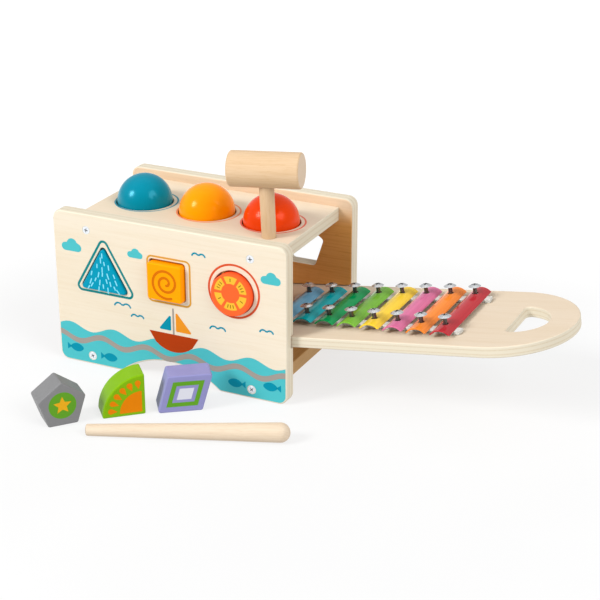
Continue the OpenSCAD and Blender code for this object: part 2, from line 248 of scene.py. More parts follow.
def only(piece: Piece) -> None:
    """Leave edit mode and select one object alone.

    Args:
        piece: Object to select.
    """
    if bpy.context.object and bpy.context.object.mode != "OBJECT":
        bpy.ops.object.mode_set(mode="OBJECT")
    bpy.ops.object.select_all(action="DESELECT")
    piece.select_set(True)
    bpy.context.view_layer.objects.active = piece


def edit(piece: Piece) -> None:
    """Open one object in edit mode with all of it selected.

    Args:
        piece: Object to open.
    """
    only(piece)
    bpy.ops.object.mode_set(mode="EDIT")
    bpy.ops.mesh.select_mode(type="VERT")
    bpy.ops.mesh.select_all(action="SELECT")


def close() -> None:
    """Go back to object mode."""
    bpy.ops.object.mode_set(mode="OBJECT")


def started(name: str) -> Piece:
    """Name the active object, which was just added or joined.

    Args:
        name: Name of the object and of its mesh.

    Returns:
        The object.
    """
    piece = bpy.context.object
    piece.name = name
    piece.data.name = name
    return piece


def free_of_selection() -> None:
    """Deselect everything before a primitive is added."""
    bpy.ops.object.select_all(action="DESELECT")


def apply(piece: Piece, kind: str, **settings: Any) -> None:
    """Add a modifier and apply it at once.

    Args:
        piece: Object to change.
        kind: Blender's name of the modifier's type.
        settings: The modifier's own settings.
    """
    only(piece)
    modifier = piece.modifiers.new(kind.title(), kind)
    for setting, value in settings.items():
        setattr(modifier, setting, value)
    bpy.ops.object.modifier_apply(modifier=modifier.name)


def welded_copy(node: str, name: str) -> Piece:
    """Copy a CAD node as one welded mesh, with its flat faces merged.

    Args:
        node: CAD node to copy.
        name: Name of the copy.

    Returns:
        The copy, at the origin as the node is.
    """
    piece = bpy.data.objects.new(name, frame["nodes"][node].data.copy())
    bpy.context.scene.collection.objects.link(piece)
    piece.data.name = name
    piece.data.materials.clear()
    only(piece)
    bpy.ops.mesh.customdata_custom_splitnormals_clear()
    edit(piece)
    bpy.ops.mesh.remove_doubles(threshold=WELD)
    bpy.ops.mesh.dissolve_limited(angle_limit=math.radians(FLAT))
    close()
    return piece


def shade(piece: Piece, angle: float = 35.0) -> None:
    """Shade a piece smooth up to an angle between its faces."""
    only(piece)
    bpy.ops.object.shade_smooth_by_angle(angle=math.radians(angle))


def soften(piece: Piece, width: float, share: Callable[[Vector], float] | None = None,
           sharp: float = BOARD_SHARP, segments: int = 3) -> Piece:
    """Ease the sharp edges of a piece with a rounded bevel.

    Args:
        piece: Object to change.
        width: Width of the bevel.
        share: How much of the width the edge at a point takes, from 0 to 1, or all of it.
        sharp: Least angle between two faces whose edge is eased.
        segments: Faces across the bevel.

    Returns:
        The piece.
    """
    edit(piece)
    bpy.ops.mesh.select_all(action="DESELECT")
    bpy.ops.mesh.select_mode(type="EDGE")
    bpy.ops.mesh.edges_select_sharp(sharpness=math.radians(sharp))
    close()
    mesh = piece.data
    weights = mesh.attributes.new("bevel_weight_edge", "FLOAT", "EDGE")
    for edge in mesh.edges:
        if edge.select:
            middle = (mesh.vertices[edge.vertices[0]].co + mesh.vertices[edge.vertices[1]].co) / 2
            weights.data[edge.index].value = share(middle) if share else 1.0
    shade(piece)
    apply(piece, "BEVEL", width=width * MM, segments=segments, limit_method="WEIGHT",
          use_clamp_overlap=False, harden_normals=True, miter_outer="MITER_PATCH", loop_slide=False)
    return piece


def joined(pieces: list[Piece], name: str) -> Piece:
    """Join several objects into one.

    Args:
        pieces: Objects to join, the first of which stays.
        name: Name of the result.

    Returns:
        The joined object.
    """
    only(pieces[0])
    for piece in pieces[1:]:
        piece.select_set(True)
    if len(pieces) > 1:
        bpy.ops.object.join()
    return started(name)


def islands(node: str) -> list[list[Vector]]:
    """Find the separate solids of a CAD node.

    Args:
        node: CAD node to take apart.

    Returns:
        Corner points of each solid, in metres.
    """
    copy = welded_copy(node, node + "_loose")
    edit(copy)
    bpy.ops.mesh.separate(type="LOOSE")
    close()
    loose = list(bpy.context.selected_objects)
    points = [[v.co.copy() for v in part.data.vertices] for part in loose]
    for part in loose:
        bpy.data.objects.remove(part)
    return points


def mean_of(points: list[Vector]) -> Vector:
    """Mean of some points."""
    return Vector([sum(p[axis] for p in points) / len(points) for axis in range(3)])


def spun(name: str, profile: Outline, steps: int = 32) -> Piece:
    """Turn a closed profile on the lathe about Z.

    Args:
        name: Name of the piece.
        profile: Radius and height of each corner, with both ends on the axis.
        steps: Faces round the piece.

    Returns:
        The turned solid.
    """
    free_of_selection()
    bpy.ops.mesh.primitive_circle_add(vertices=len(profile), fill_type="NOTHING", location=(0, 0, 0))
    piece = started(name)
    for vertex, (radius, height) in zip(piece.data.vertices, profile):
        vertex.co = Vector((radius, 0, height)) * MM
    edit(piece)
    bpy.ops.mesh.spin(steps=steps, angle=2 * math.pi, center=(0, 0, 0), axis=(0, 0, 1))
    bpy.ops.mesh.select_all(action="SELECT")
    bpy.ops.mesh.remove_doubles(threshold=WELD)
    bpy.ops.mesh.normals_make_consistent(inside=False)
    close()
    return piece


def cross_cut(piece: Piece, width: float, length: float, depth: float, top: float) -> None:
    """Cut a cross recess into the top of a screw that stands on Z.

    Args:
        piece: Screw to cut.
        width: Width of an arm.
        length: Length from the end of one arm to the end of the other.
        depth: Depth of the recess.
        top: Height of the screw's top.
    """
    arms = []
    for turn in (0, 90):
        free_of_selection()
        bpy.ops.mesh.primitive_cube_add(size=MM, location=(0, 0, 0))
        arm = started("recess_arm")
        edit(arm)
        bpy.ops.transform.resize(value=(length, width, 2 * depth))
        bpy.ops.transform.rotate(value=math.radians(turn), orient_axis="Z", center_override=(0, 0, 0))
        bpy.ops.transform.translate(value=(0, 0, top * MM))
        close()
        arms.append(arm)
    cutter = joined(arms, "recess_cutter")
    apply(piece, "BOOLEAN", object=cutter, operation="DIFFERENCE", solver="EXACT", use_self=True)
    apply(piece, "TRIANGULATE", min_vertices=5)
    bpy.data.objects.remove(cutter)


def drive(screw: Piece, spot: Vector, outward: Vector, turn: float) -> None:
    """Move a screw from Z to its place.

    Args:
        screw: Screw that stands on Z, with its flat top, or the underside of its dome, at zero.
        spot: Where that point goes, in metres.
        outward: Direction that the head looks in.
        turn: Turn of its recess, in radians.
    """
    upright = UPWARD.rotation_difference(outward).to_matrix().to_4x4()
    screw.data.transform(Matrix.Translation(spot) @ upright @ Matrix.Rotation(turn, 4, "Z"))


@dataclass(frozen=True)
class Face:
    """A flat face that takes print.

    Attributes:
        middle: Zero point of the outlines on it, in metres.
        across: Unit direction of an outline's first number.
        up: Unit direction of its second number.
    """

    middle: Vector
    across: Vector
    up: Vector

    @property
    def normal(self) -> Vector:
        """Direction that the face looks in."""
        return self.across.cross(self.up)

    def at(self, point: Point) -> Vector:
        """Place of an outline's point, in metres."""
        return self.middle + (self.across * point[0] + self.up * point[1]) * MM


def facing(piece: Piece, towards: Vector) -> Face:
    """Find the largest face of a piece that looks in about one direction.

    Args:
        piece: Object to look at, with its flat faces merged.
        towards: Direction that the face looks in, more or less.

    Returns:
        The face, with its zero point in the middle of its width and height.
    """
    # Cosines of the angles for a face that looks that way, and for one that lies almost level
    least_dot = 0.5
    level_dot = 0.9
    seen = [f for f in piece.data.polygons if f.normal.dot(towards) > least_dot]
    face = max(seen, key=lambda f: f.area)
    normal = face.normal.copy()
    lean = UPWARD if abs(normal.z) < level_dot else INWARD
    across = lean.cross(normal).normalized()
    up = normal.cross(across)
    corners = [piece.data.vertices[k].co for k in face.vertices]
    spans = [[c.dot(way) for c in corners] for way in (across, up)]
    middle = [(min(span) + max(span)) / 2 for span in spans]
    return Face(across * middle[0] + up * middle[1] + normal * normal.dot(corners[0]), across, up)


# Finishes


@dataclass(frozen=True)
class Streaks:
    """One layer of a wood's figure: noise that is drawn out along the fibres.

    Attributes:
        along: Scale of the noise along the fibres, to a metre.
        across: Scale of the noise across them, to a metre.
        low: Noise at which a streak starts to show.
        high: Noise at which it shows in full.
        share: Share of the streaks' colour that it then has.
        detail: Levels of finer noise.
        wander: How much the streaks bend.
    """

    along: float
    across: float
    low: float
    high: float
    share: float
    detail: float
    wander: float = 0.0


class Shader:
    """A material's node tree, built one node at a time."""

    def __init__(self, name: str) -> None:
        """Start a material with a plain Principled surface.

        Args:
            name: Name of the material.
        """
        self.material = bpy.data.materials.new(name)
        self.material.use_nodes = True
        self.tree = self.material.node_tree
        self.surface = self.tree.nodes["Principled BSDF"]
        self.places = self.tree.nodes.new("ShaderNodeTexCoord")

    @property
    def place(self) -> Socket:
        """Place on the piece, in metres."""
        return self.places.outputs["Object"]

    def feed(self, socket: Socket, value: Any) -> None:
        """Link an input to another node's output, or set it to a constant.

        Args:
            socket: Input to feed.
            value: The other node's output, or the constant.
        """
        if isinstance(value, bpy.types.NodeSocket):
            self.tree.links.new(value, socket)
        else:
            socket.default_value = value

    def node(self, kind: str, inputs: dict[Any, Any], output: Any = 0, **settings: Any) -> Socket:
        """Add a node.

        Args:
            kind: Blender's name of the node's type.
            inputs: Value or linked output for each input, by its name or number.
            output: Name or number of the output to hand back.
            settings: The node's own settings.

        Returns:
            The chosen output.
        """
        made = self.tree.nodes.new(kind)
        for setting, value in settings.items():
            setattr(made, setting, value)
        for key, value in inputs.items():
            self.feed(made.inputs[key], value)
        return made.outputs[output]

    def number(self, operation: str, first: Any, second: Any = 0.0) -> Socket:
        """Work out one number from two."""
        return self.node("ShaderNodeMath", {0: first, 1: second}, operation=operation)

    def along(self, direction: Vector, source: str = "Object") -> Socket:
        """Distance along a direction, or the share of a normal that points that way."""
        dot = {0: self.places.outputs[source], 1: tuple(direction)}
        return self.node("ShaderNodeVectorMath", dot, "Value", operation="DOT_PRODUCT")

    def axes(self, ways: Ways, scale: Point3) -> Socket:
        """Place in a piece's own directions, stretched along each of them.

        Args:
            ways: Three directions, square to each other.
            scale: Stretch along each of the three.

        Returns:
            A vector for a texture.
        """
        parts = {k: self.number("MULTIPLY", self.along(way), scale[k]) for k, way in enumerate(ways)}
        return self.node("ShaderNodeCombineXYZ", parts)

    def noise(self, vector: Any, scale: float, detail: float = 3.0, wander: float = 0.0) -> Socket:
        """Soft noise from 0 to 1."""
        inputs = {"Vector": vector, "Scale": scale, "Detail": detail, "Distortion": wander}
        return self.node("ShaderNodeTexNoise", inputs, "Fac")

    def between(self, value: Socket, low: float, high: float, to: Point = (0.0, 1.0)) -> Socket:
        """Move a range of values smoothly onto another range."""
        inputs = {"Value": value, "From Min": low, "From Max": high, "To Min": to[0], "To Max": to[1]}
        return self.node("ShaderNodeMapRange", inputs, interpolation_type="SMOOTHSTEP")

    def streaks(self, ways: Ways, layer: Streaks) -> tuple[Socket, Socket]:
        """Draw one layer of a wood's figure.

        Args:
            ways: Direction of the fibres, and the two across them.
            layer: The layer to draw.

        Returns:
            The layer's noise, and how much of the streaks' colour it gives.
        """
        stretch = (layer.along, layer.across, layer.across)
        noise = self.noise(self.axes(ways, stretch), 1.0, layer.detail, layer.wander)
        return noise, self.between(noise, layer.low, layer.high, (0, layer.share))

    def mix(self, share: Any, first: Any, second: Any) -> Socket:
        """Blend two colours."""
        return self.node("ShaderNodeMix", {0: share, 6: first, 7: second}, 2, data_type="RGBA")

    def bump(self, height: Socket, depth: float, strength: float) -> None:
        """Raise the surface by a height from 0 to 1, at a depth in millimetres."""
        inputs = {"Height": height, "Distance": depth * MM, "Strength": strength}
        self.feed(self.surface.inputs["Normal"], self.node("ShaderNodeBump", inputs))

    def finish(self, **inputs: Any) -> Material:
        """Set the surface's inputs and hand over the material.

        Args:
            inputs: Value or linked output for each input, with underscores for spaces.

        Returns:
            The material.
        """
        for key, value in inputs.items():
            self.feed(self.surface.inputs[key.replace("_", " ")], value)
        return self.material


@dataclass(frozen=True)
class Plywood:
    """Pale plywood under a thin clear lacquer, with streaked faces and striped edges.

    Attributes:
        name: Name of the material.
        grain: Direction of the face veneer's fibres.
        flat: Direction square to the plies.
        low: Place of the lower face along that direction, in metres.
        thickness: Thickness of the board.
        inside: Direction of the inner faces that take the painted shade, or no direction where none do.
        covered: Height that the painted shade on the inner faces reaches up to, in metres.
        fade: How far that colour fades below this height and above it.
        faded: Share of it that is left above.
        plies: Number of plies.
        waver: How far the plies' lines wander, as a share of a ply.
        face: Colour of the face veneer.
        streak: Colour of its streaks.
        inner: Colour of the painted shade on the inner faces.
        inner_streak: Colour of the streaks in that painted shade.
        pale_ply: Colour of a ply's edge.
        dark_ply: Colour of the edge of every other ply.
        broad: Broad bands of the figure.
        fine: Fine fibres.
        fleck: Short flecks.
    """

    name: str
    grain: Vector
    flat: Vector
    low: float
    thickness: float
    inside: Vector = field(default_factory=Vector)
    covered: float = 1.0
    fade: Point = (12.0, 10.0)
    faded: float = 0.32
    plies: int = 5
    waver: float = 0.35
    face: str = "#d6c6b0"
    streak: str = "#cebb9e"
    # Painted shade: warm browns for the inner faces, standing in for the shade inside the box
    inner: str = "#d69a54"
    inner_streak: str = "#b57835"
    pale_ply: str = "#cdc4b0"
    dark_ply: str = "#c2b49b"
    broad: Streaks = Streaks(5, 34, 0.35, 0.7, 0.32, 4.0, 0.6)
    fine: Streaks = Streaks(16, 520, 0.4, 0.8, 0.35, 3.0)
    fleck: Streaks = Streaks(90, 1500, 0.62, 0.75, 0.3, 1.0)

    def material(self) -> Material:
        """Build the wood, streaked on its faces and striped on its edges.

        Returns:
            The material.
        """
        wood = Shader(self.name)
        ways = (self.grain, self.flat.cross(self.grain), self.flat)
        broad, bands = wood.streaks(ways, self.broad)
        fine, fibres = wood.streaks(ways, self.fine)
        _, flecks = wood.streaks(ways, self.fleck)
        figure = wood.number("ADD", wood.number("ADD", bands, fibres), flecks)
        outer = wood.mix(figure, srgb(self.face), srgb(self.streak))
        # Painted shade on the inner faces: brown below the top board, fading to a share of it above
        inner = wood.mix(figure, srgb(self.inner), srgb(self.inner_streak))
        low, high = self.covered - self.fade[0] * MM, self.covered + self.fade[1] * MM
        reach = wood.between(wood.along(UPWARD), low, high, (1, self.faded))
        inward = wood.between(wood.along(self.inside, "Normal"), 0.6, 0.9)
        face = wood.mix(wood.number("MULTIPLY", inward, reach), outer, inner)
        depth = wood.number("SUBTRACT", wood.along(self.flat), self.low)
        waver = wood.number("MULTIPLY", wood.number("SUBTRACT", broad, 0.5), self.waver)
        plies = wood.number("MULTIPLY", depth, self.plies / (self.thickness * MM))
        swing = wood.number("MULTIPLY", wood.number("ADD", plies, waver), math.pi)
        stripe = wood.between(wood.number("SINE", swing), -0.9, -0.35, (1, 0))
        cut = wood.between(wood.noise(wood.place, 900.0, 2.0), 0.35, 0.7, (0.55, 1.0))
        edge = wood.mix(wood.number("MULTIPLY", stripe, cut), srgb(self.pale_ply), srgb(self.dark_ply))
        on_face = wood.between(wood.number("ABSOLUTE", wood.along(self.flat, "Normal")), 0.72, 0.86)
        wood.bump(fine, 0.03, 0.5)
        return wood.finish(Base_Color=wood.mix(on_face, edge, face),
                           Roughness=wood.between(fine, 0, 1, (0.46, 0.6)), Specular_IOR_Level=0.25)


@dataclass(frozen=True)
class TurnedWood:
    """Solid pale wood, smooth from the lathe, with fibres along its axis.

    Attributes:
        name: Name of the material.
        grain: Direction of the fibres.
        pale: Colour of the early wood.
        dark: Colour of the streaks.
        end: Colour of the end grain.
        broad: Broad bands of the figure.
        fine: Fine fibres.
        pore: Short pores.
    """

    name: str
    grain: Vector
    pale: str = "#cdb190"
    dark: str = "#ba976c"
    end: str = "#c6b39d"
    broad: Streaks = Streaks(4, 90, 0.3, 0.75, 0.3, 2.0)
    fine: Streaks = Streaks(45, 1100, 0.35, 0.75, 0.35, 2.0)
    pore: Streaks = Streaks(160, 2200, 0.58, 0.75, 0.35, 1.0)

    def material(self) -> Material:
        """Build the wood, with long streaks on its sides and pale ends.

        Returns:
            The material.
        """
        wood = Shader(self.name)
        side = self.grain.orthogonal().normalized()
        ways = (self.grain, side, self.grain.cross(side))
        _, bands = wood.streaks(ways, self.broad)
        fine, fibres = wood.streaks(ways, self.fine)
        _, pores = wood.streaks(ways, self.pore)
        figure = wood.number("ADD", wood.number("ADD", bands, fibres), pores)
        square_on = wood.number("ABSOLUTE", wood.along(self.grain, "Normal"))
        on_end = wood.between(square_on, 0.75, 0.95, (0, 0.8))
        colour = wood.mix(on_end, wood.mix(figure, srgb(self.pale), srgb(self.dark)), srgb(self.end))
        wood.bump(fine, 0.02, 0.4)
        return wood.finish(Base_Color=colour, Roughness=wood.between(fine, 0, 1, (0.48, 0.62)),
                           Specular_IOR_Level=0.22)


class Gloss(Enum):
    """How shiny a coat of paint is: its roughness and its specular level."""

    SATIN = (0.45, 0.16)
    BALL = (0.19, 0.33)
    PRINT = (0.55, 0.12)


@dataclass(frozen=True)
class Paint:
    """Water-based paint on wood, a little uneven, with the grain just showing.

    Attributes:
        name: Name of the material.
        colour: Colour of the paint.
        gloss: How shiny it is.
        uneven: Share of the paint that dries darker.
        white: Share of white in its gloss.
        left: Share of its light that is left where it dries darker.
    """

    name: str
    colour: str
    gloss: Gloss = Gloss.SATIN
    uneven: float = 0.16
    white: float = 0.1
    left: float = 0.8

    def material(self) -> Material:
        """Build the paint, with brush marks and a fine orange-peel skin.

        Returns:
            The material.
        """
        paint = Shader(self.name)
        rough, level = self.gloss.value
        cloud = paint.noise(paint.place, 60.0)
        grain = paint.noise(paint.axes((ACROSS, INWARD, UPWARD), (60, 500, 500)), 1.0, 2.0)
        skin = paint.noise(paint.place, 1400.0, 1.0)
        marks = paint.number("ADD", paint.between(cloud, 0.4, 0.75, (0, self.uneven)),
                             paint.between(grain, 0.45, 0.8, (0, self.uneven)))
        paint.bump(paint.number("ADD", grain, skin), 0.02, 0.35)
        colour = paint.mix(marks, srgb(self.colour), darker(self.colour, self.left))
        return paint.finish(Base_Color=colour,
                            Roughness=paint.between(cloud, 0.2, 0.8, (rough - 0.04, rough + 0.06)),
                            Specular_IOR_Level=level, Specular_Tint=tinted(self.colour, self.white))


@dataclass(frozen=True)
class Enamel:
    """Glossy lacquer on sheet metal, brushed along the bar, with bare metal and painted reflection on its
    long edges.

    Attributes:
        name: Name of the material.
        colour: Colour of the lacquer.
        above: Direction that the lacquered side looks in.
        bare_and_sheen: Colour of the cut metal, pale as a painted reflection.
        white: Share of white in the lacquer's gloss.
        left: Share of its light that is left in the brush lines.
    """

    name: str
    colour: str
    above: Vector
    # Pale grey: bare cut metal, and a painted reflection along the bar's long edges
    bare_and_sheen: str = "#d2cfca"
    white: float = 0.3
    left: float = 0.88

    def material(self) -> Material:
        """Build the lacquer, with faint brush lines, and the long edges pale as bare metal and painted
        reflection.

        Returns:
            The material.
        """
        coat = Shader(self.name)
        brushed = coat.noise(coat.axes((INWARD, ACROSS, UPWARD), (12, 900, 900)), 1.0, 2.0)
        lines = coat.between(brushed, 0.35, 0.75)
        lacquer = coat.mix(lines, srgb(self.colour), darker(self.colour, self.left))
        # Long edges and underside: bare cut metal, pale as a painted reflection
        below = coat.between(coat.along(self.above, "Normal"), 0.05, 0.3, (0.75, 0))
        beside = coat.between(coat.number("ABSOLUTE", coat.along(INWARD, "Normal")), 0.5, 0.8, (1, 0))
        cut = coat.number("MULTIPLY", below, beside)
        coat.bump(brushed, 0.01, 0.2)
        return coat.finish(Base_Color=coat.mix(cut, lacquer, srgb(self.bare_and_sheen)),
                           Roughness=coat.between(brushed, 0, 1, (0.1, 0.18)), Specular_IOR_Level=0.45,
                           Specular_Tint=tinted(self.colour, self.white))


@dataclass(frozen=True)
class Steel:
    """Nickel-plated steel with fine handling marks, and painted shade and dark reflection below its top.

    Attributes:
        name: Name of the material.
        outward: Direction that the heads look in.
        mirror: How much of a mirror the plating is, from 0 to 1.
        colour: Colour of the polished plating.
        worn: Colour of its handling marks.
        top: Place of flat heads' tops along that direction in metres, or nothing for domed heads.
        shade_dark: Colour of painted shade in a flat head's recess and painted reflection below a dome.
    """

    name: str
    outward: Vector
    mirror: float
    colour: str
    worn: str
    top: float | None = None
    # Painted shade and painted dark reflection
    shade_dark: str = "#3a3430"

    def material(self) -> Material:
        """Build the plating, with painted shade in a flat head's recess and painted reflection on a
        dome's sides.

        Returns:
            The material.
        """
        steel = Shader(self.name)
        mark = steel.noise(steel.place, 1600.0)
        tone = steel.mix(steel.between(mark, 0.4, 0.7), srgb(self.colour), srgb(self.worn))
        # Painted dark reflection below a domed head; painted shade in a flat head's recess
        if self.top is None:
            shade_dark_mask = steel.between(steel.along(self.outward, "Normal"), -0.1, 0.4, (1, 0))
        else:
            depth = steel.number("SUBTRACT", self.top, steel.along(self.outward))
            shade_dark_mask = steel.between(depth, 0.1 * MM, 0.5 * MM)
        return steel.finish(Base_Color=steel.mix(shade_dark_mask, tone, srgb(self.shade_dark)), Metallic=self.mirror,
                            Roughness=steel.between(mark, 0.2, 0.8, (0.14, 0.24)))


@dataclass(frozen=True)
class Rubber:
    """Matt black rubber with a dusty bloom.

    Attributes:
        name: Name of the material.
        colour: Colour of the rubber.
        dust: Colour of the bloom.
    """

    name: str = "grip_rubber"
    colour: str = "#242424"
    dust: str = "#3a3836"

    def material(self) -> Material:
        """Build the rubber, dusty in patches.

        Returns:
            The material.
        """
        rubber = Shader(self.name)
        bloom = rubber.noise(rubber.place, 300.0, 4.0)
        tone = rubber.mix(rubber.between(bloom, 0.4, 0.8), srgb(self.colour), srgb(self.dust))
        rubber.bump(bloom, 0.05, 0.4)
        return rubber.finish(Base_Color=tone, Roughness=rubber.between(bloom, 0, 1, (0.6, 0.85)))


@dataclass(frozen=True)
class Felt:
    """White wool felt with short matted fibres.

    Attributes:
        name: Name of the material.
        colour: Colour of the wool.
        hollow: Colour between its clumps.
    """

    name: str = "felt"
    colour: str = "#c7c6c0"
    hollow: str = "#b1afa8"

    def material(self) -> Material:
        """Build the felt, clumped and with a soft sheen.

        Returns:
            The material.
        """
        felt = Shader(self.name)
        clump = felt.noise(felt.place, 700.0, 4.0)
        fibre = felt.noise(felt.place, 3200.0, 2.0, 1.5)
        tone = felt.mix(felt.between(clump, 0.35, 0.7), srgb(self.colour), srgb(self.hollow))
        felt.bump(felt.number("ADD", clump, fibre), 0.25, 0.6)
        return felt.finish(Base_Color=tone, Roughness=0.95, Sheen_Weight=0.3, Sheen_Roughness=0.5)


class Ink(Enum):
    """Printing inks."""

    SEA = "#47abb1"
    TEAL = "#048198"
    GREY = "#8f8982"
    RUST = "#a2370c"
    ORANGE = "#d78720"
    RING_GREEN = "#187677"
    RING_OCHRE = "#c28f34"
    RING_BRICK = "#c34f2e"
    BALL_TEAL = "#408594"
    BALL_AMBER = "#d68153"
    BALL_CORAL = "#d46752"
    CYAN = "#7acbde"
    SPIRAL = "#c26505"
    SEGMENT = "#e1ab34"
    OLIVE = "#876b17"
    LEAF = "#599227"
    STAR = "#d69f1e"
    SUN = "#d47909"
    PALE = "#c9cbd6"


@dataclass
class InkRack:
    """Keeps one material for each ink that is in use.

    Attributes:
        uneven: Share of an ink that dries darker.
        mixed: Material of each ink that has been used.
    """

    uneven: float = 0.12
    mixed: dict[Ink, Material] = field(default_factory=dict)

    def get(self, ink: Ink) -> Material:
        """Hand over an ink's material, mixed on first use.

        Args:
            ink: Ink to use.

        Returns:
            Its material.
        """
        if ink not in self.mixed:
            paint = Paint("ink_" + ink.name.lower(), ink.value, Gloss.PRINT, self.uneven)
            self.mixed[ink] = paint.material()
        return self.mixed[ink]


INKS = InkRack()


@dataclass
class Print:
    """Flat shapes printed on one face, each ink a thin film.

    Attributes:
        name: Start of the films' names.
        face: Face that carries them.
        body: Body that they move with.
        film: Thickness of one film.
        films: Shapes printed so far with each ink.
    """

    name: str
    face: Face
    body: str
    film: float = 0.03
    films: dict[Ink, list[Piece]] = field(default_factory=dict)

    def shape(self, ink: Ink, outline: Outline, line: float = 0.0, layer: int = 1) -> Piece:
        """Print one shape.

        Args:
            ink: Ink to use.
            outline: Outer outline on the face.
            line: Width of the line where only the rim is printed, or 0 for a filled shape.
            layer: Number of films under its upper side, its own among them.

        Returns:
            The film.
        """
        free_of_selection()
        bpy.ops.mesh.primitive_circle_add(vertices=len(outline), fill_type="NGON", location=(0, 0, 0))
        piece = started(self.name)
        for vertex, point in zip(piece.data.vertices, outline):
            vertex.co = self.face.at(point)
        edit(piece)
        if line:
            bpy.ops.mesh.select_mode(type="FACE")
            bpy.ops.mesh.inset(thickness=line * MM, depth=0)
            bpy.ops.mesh.delete(type="FACE")
        bpy.ops.mesh.select_all(action="SELECT")
        lift = self.face.normal * self.film * layer * MM
        bpy.ops.mesh.extrude_region_move(TRANSFORM_OT_translate={"value": lift})
        bpy.ops.mesh.select_all(action="SELECT")
        bpy.ops.mesh.normals_make_consistent(inside=False)
        close()
        self.films.setdefault(ink, []).append(piece)
        return piece

    def done(self) -> None:
        """Join the shapes of each ink, and let them move with their body."""
        for ink, shapes in self.films.items():
            piece = joined(shapes, f"{self.name}_{ink.name.lower()}")
            piece.data.materials.clear()
            piece.data.materials.append(INKS.get(ink))
            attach(piece, self.body)
            log.info("printed %s", piece.name)


# Links to the frame


def stand_in(piece: Piece, body: str, node: str, slot: str, material: Material) -> None:
    """Let a dressed piece stand for its CAD node.

    Args:
        piece: The dressed piece.
        body: Body that it moves with.
        node: CAD node that it replaces.
        slot: Material slot of the record; not used.
        material: Its finish.
    """
    piece.data.materials.clear()
    piece.data.materials.append(material)
    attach(piece, body)
    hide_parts(node)
    log.info("made %s for %s", piece.name, node)


def repaint(node: str, material: Material) -> None:
    """Give a CAD node that stays in view its finish.

    Args:
        node: CAD node to finish.
        material: Its finish.
    """
    mesh = frame["nodes"][node].data
    mesh.materials.clear()
    mesh.materials.append(material)
    log.info("finished %s", node)


def middle_of(node: str) -> Vector:
    """Middle of a CAD node's box, in metres."""
    low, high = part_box(node)
    return (low + high) / 2


# Sub-assemblies


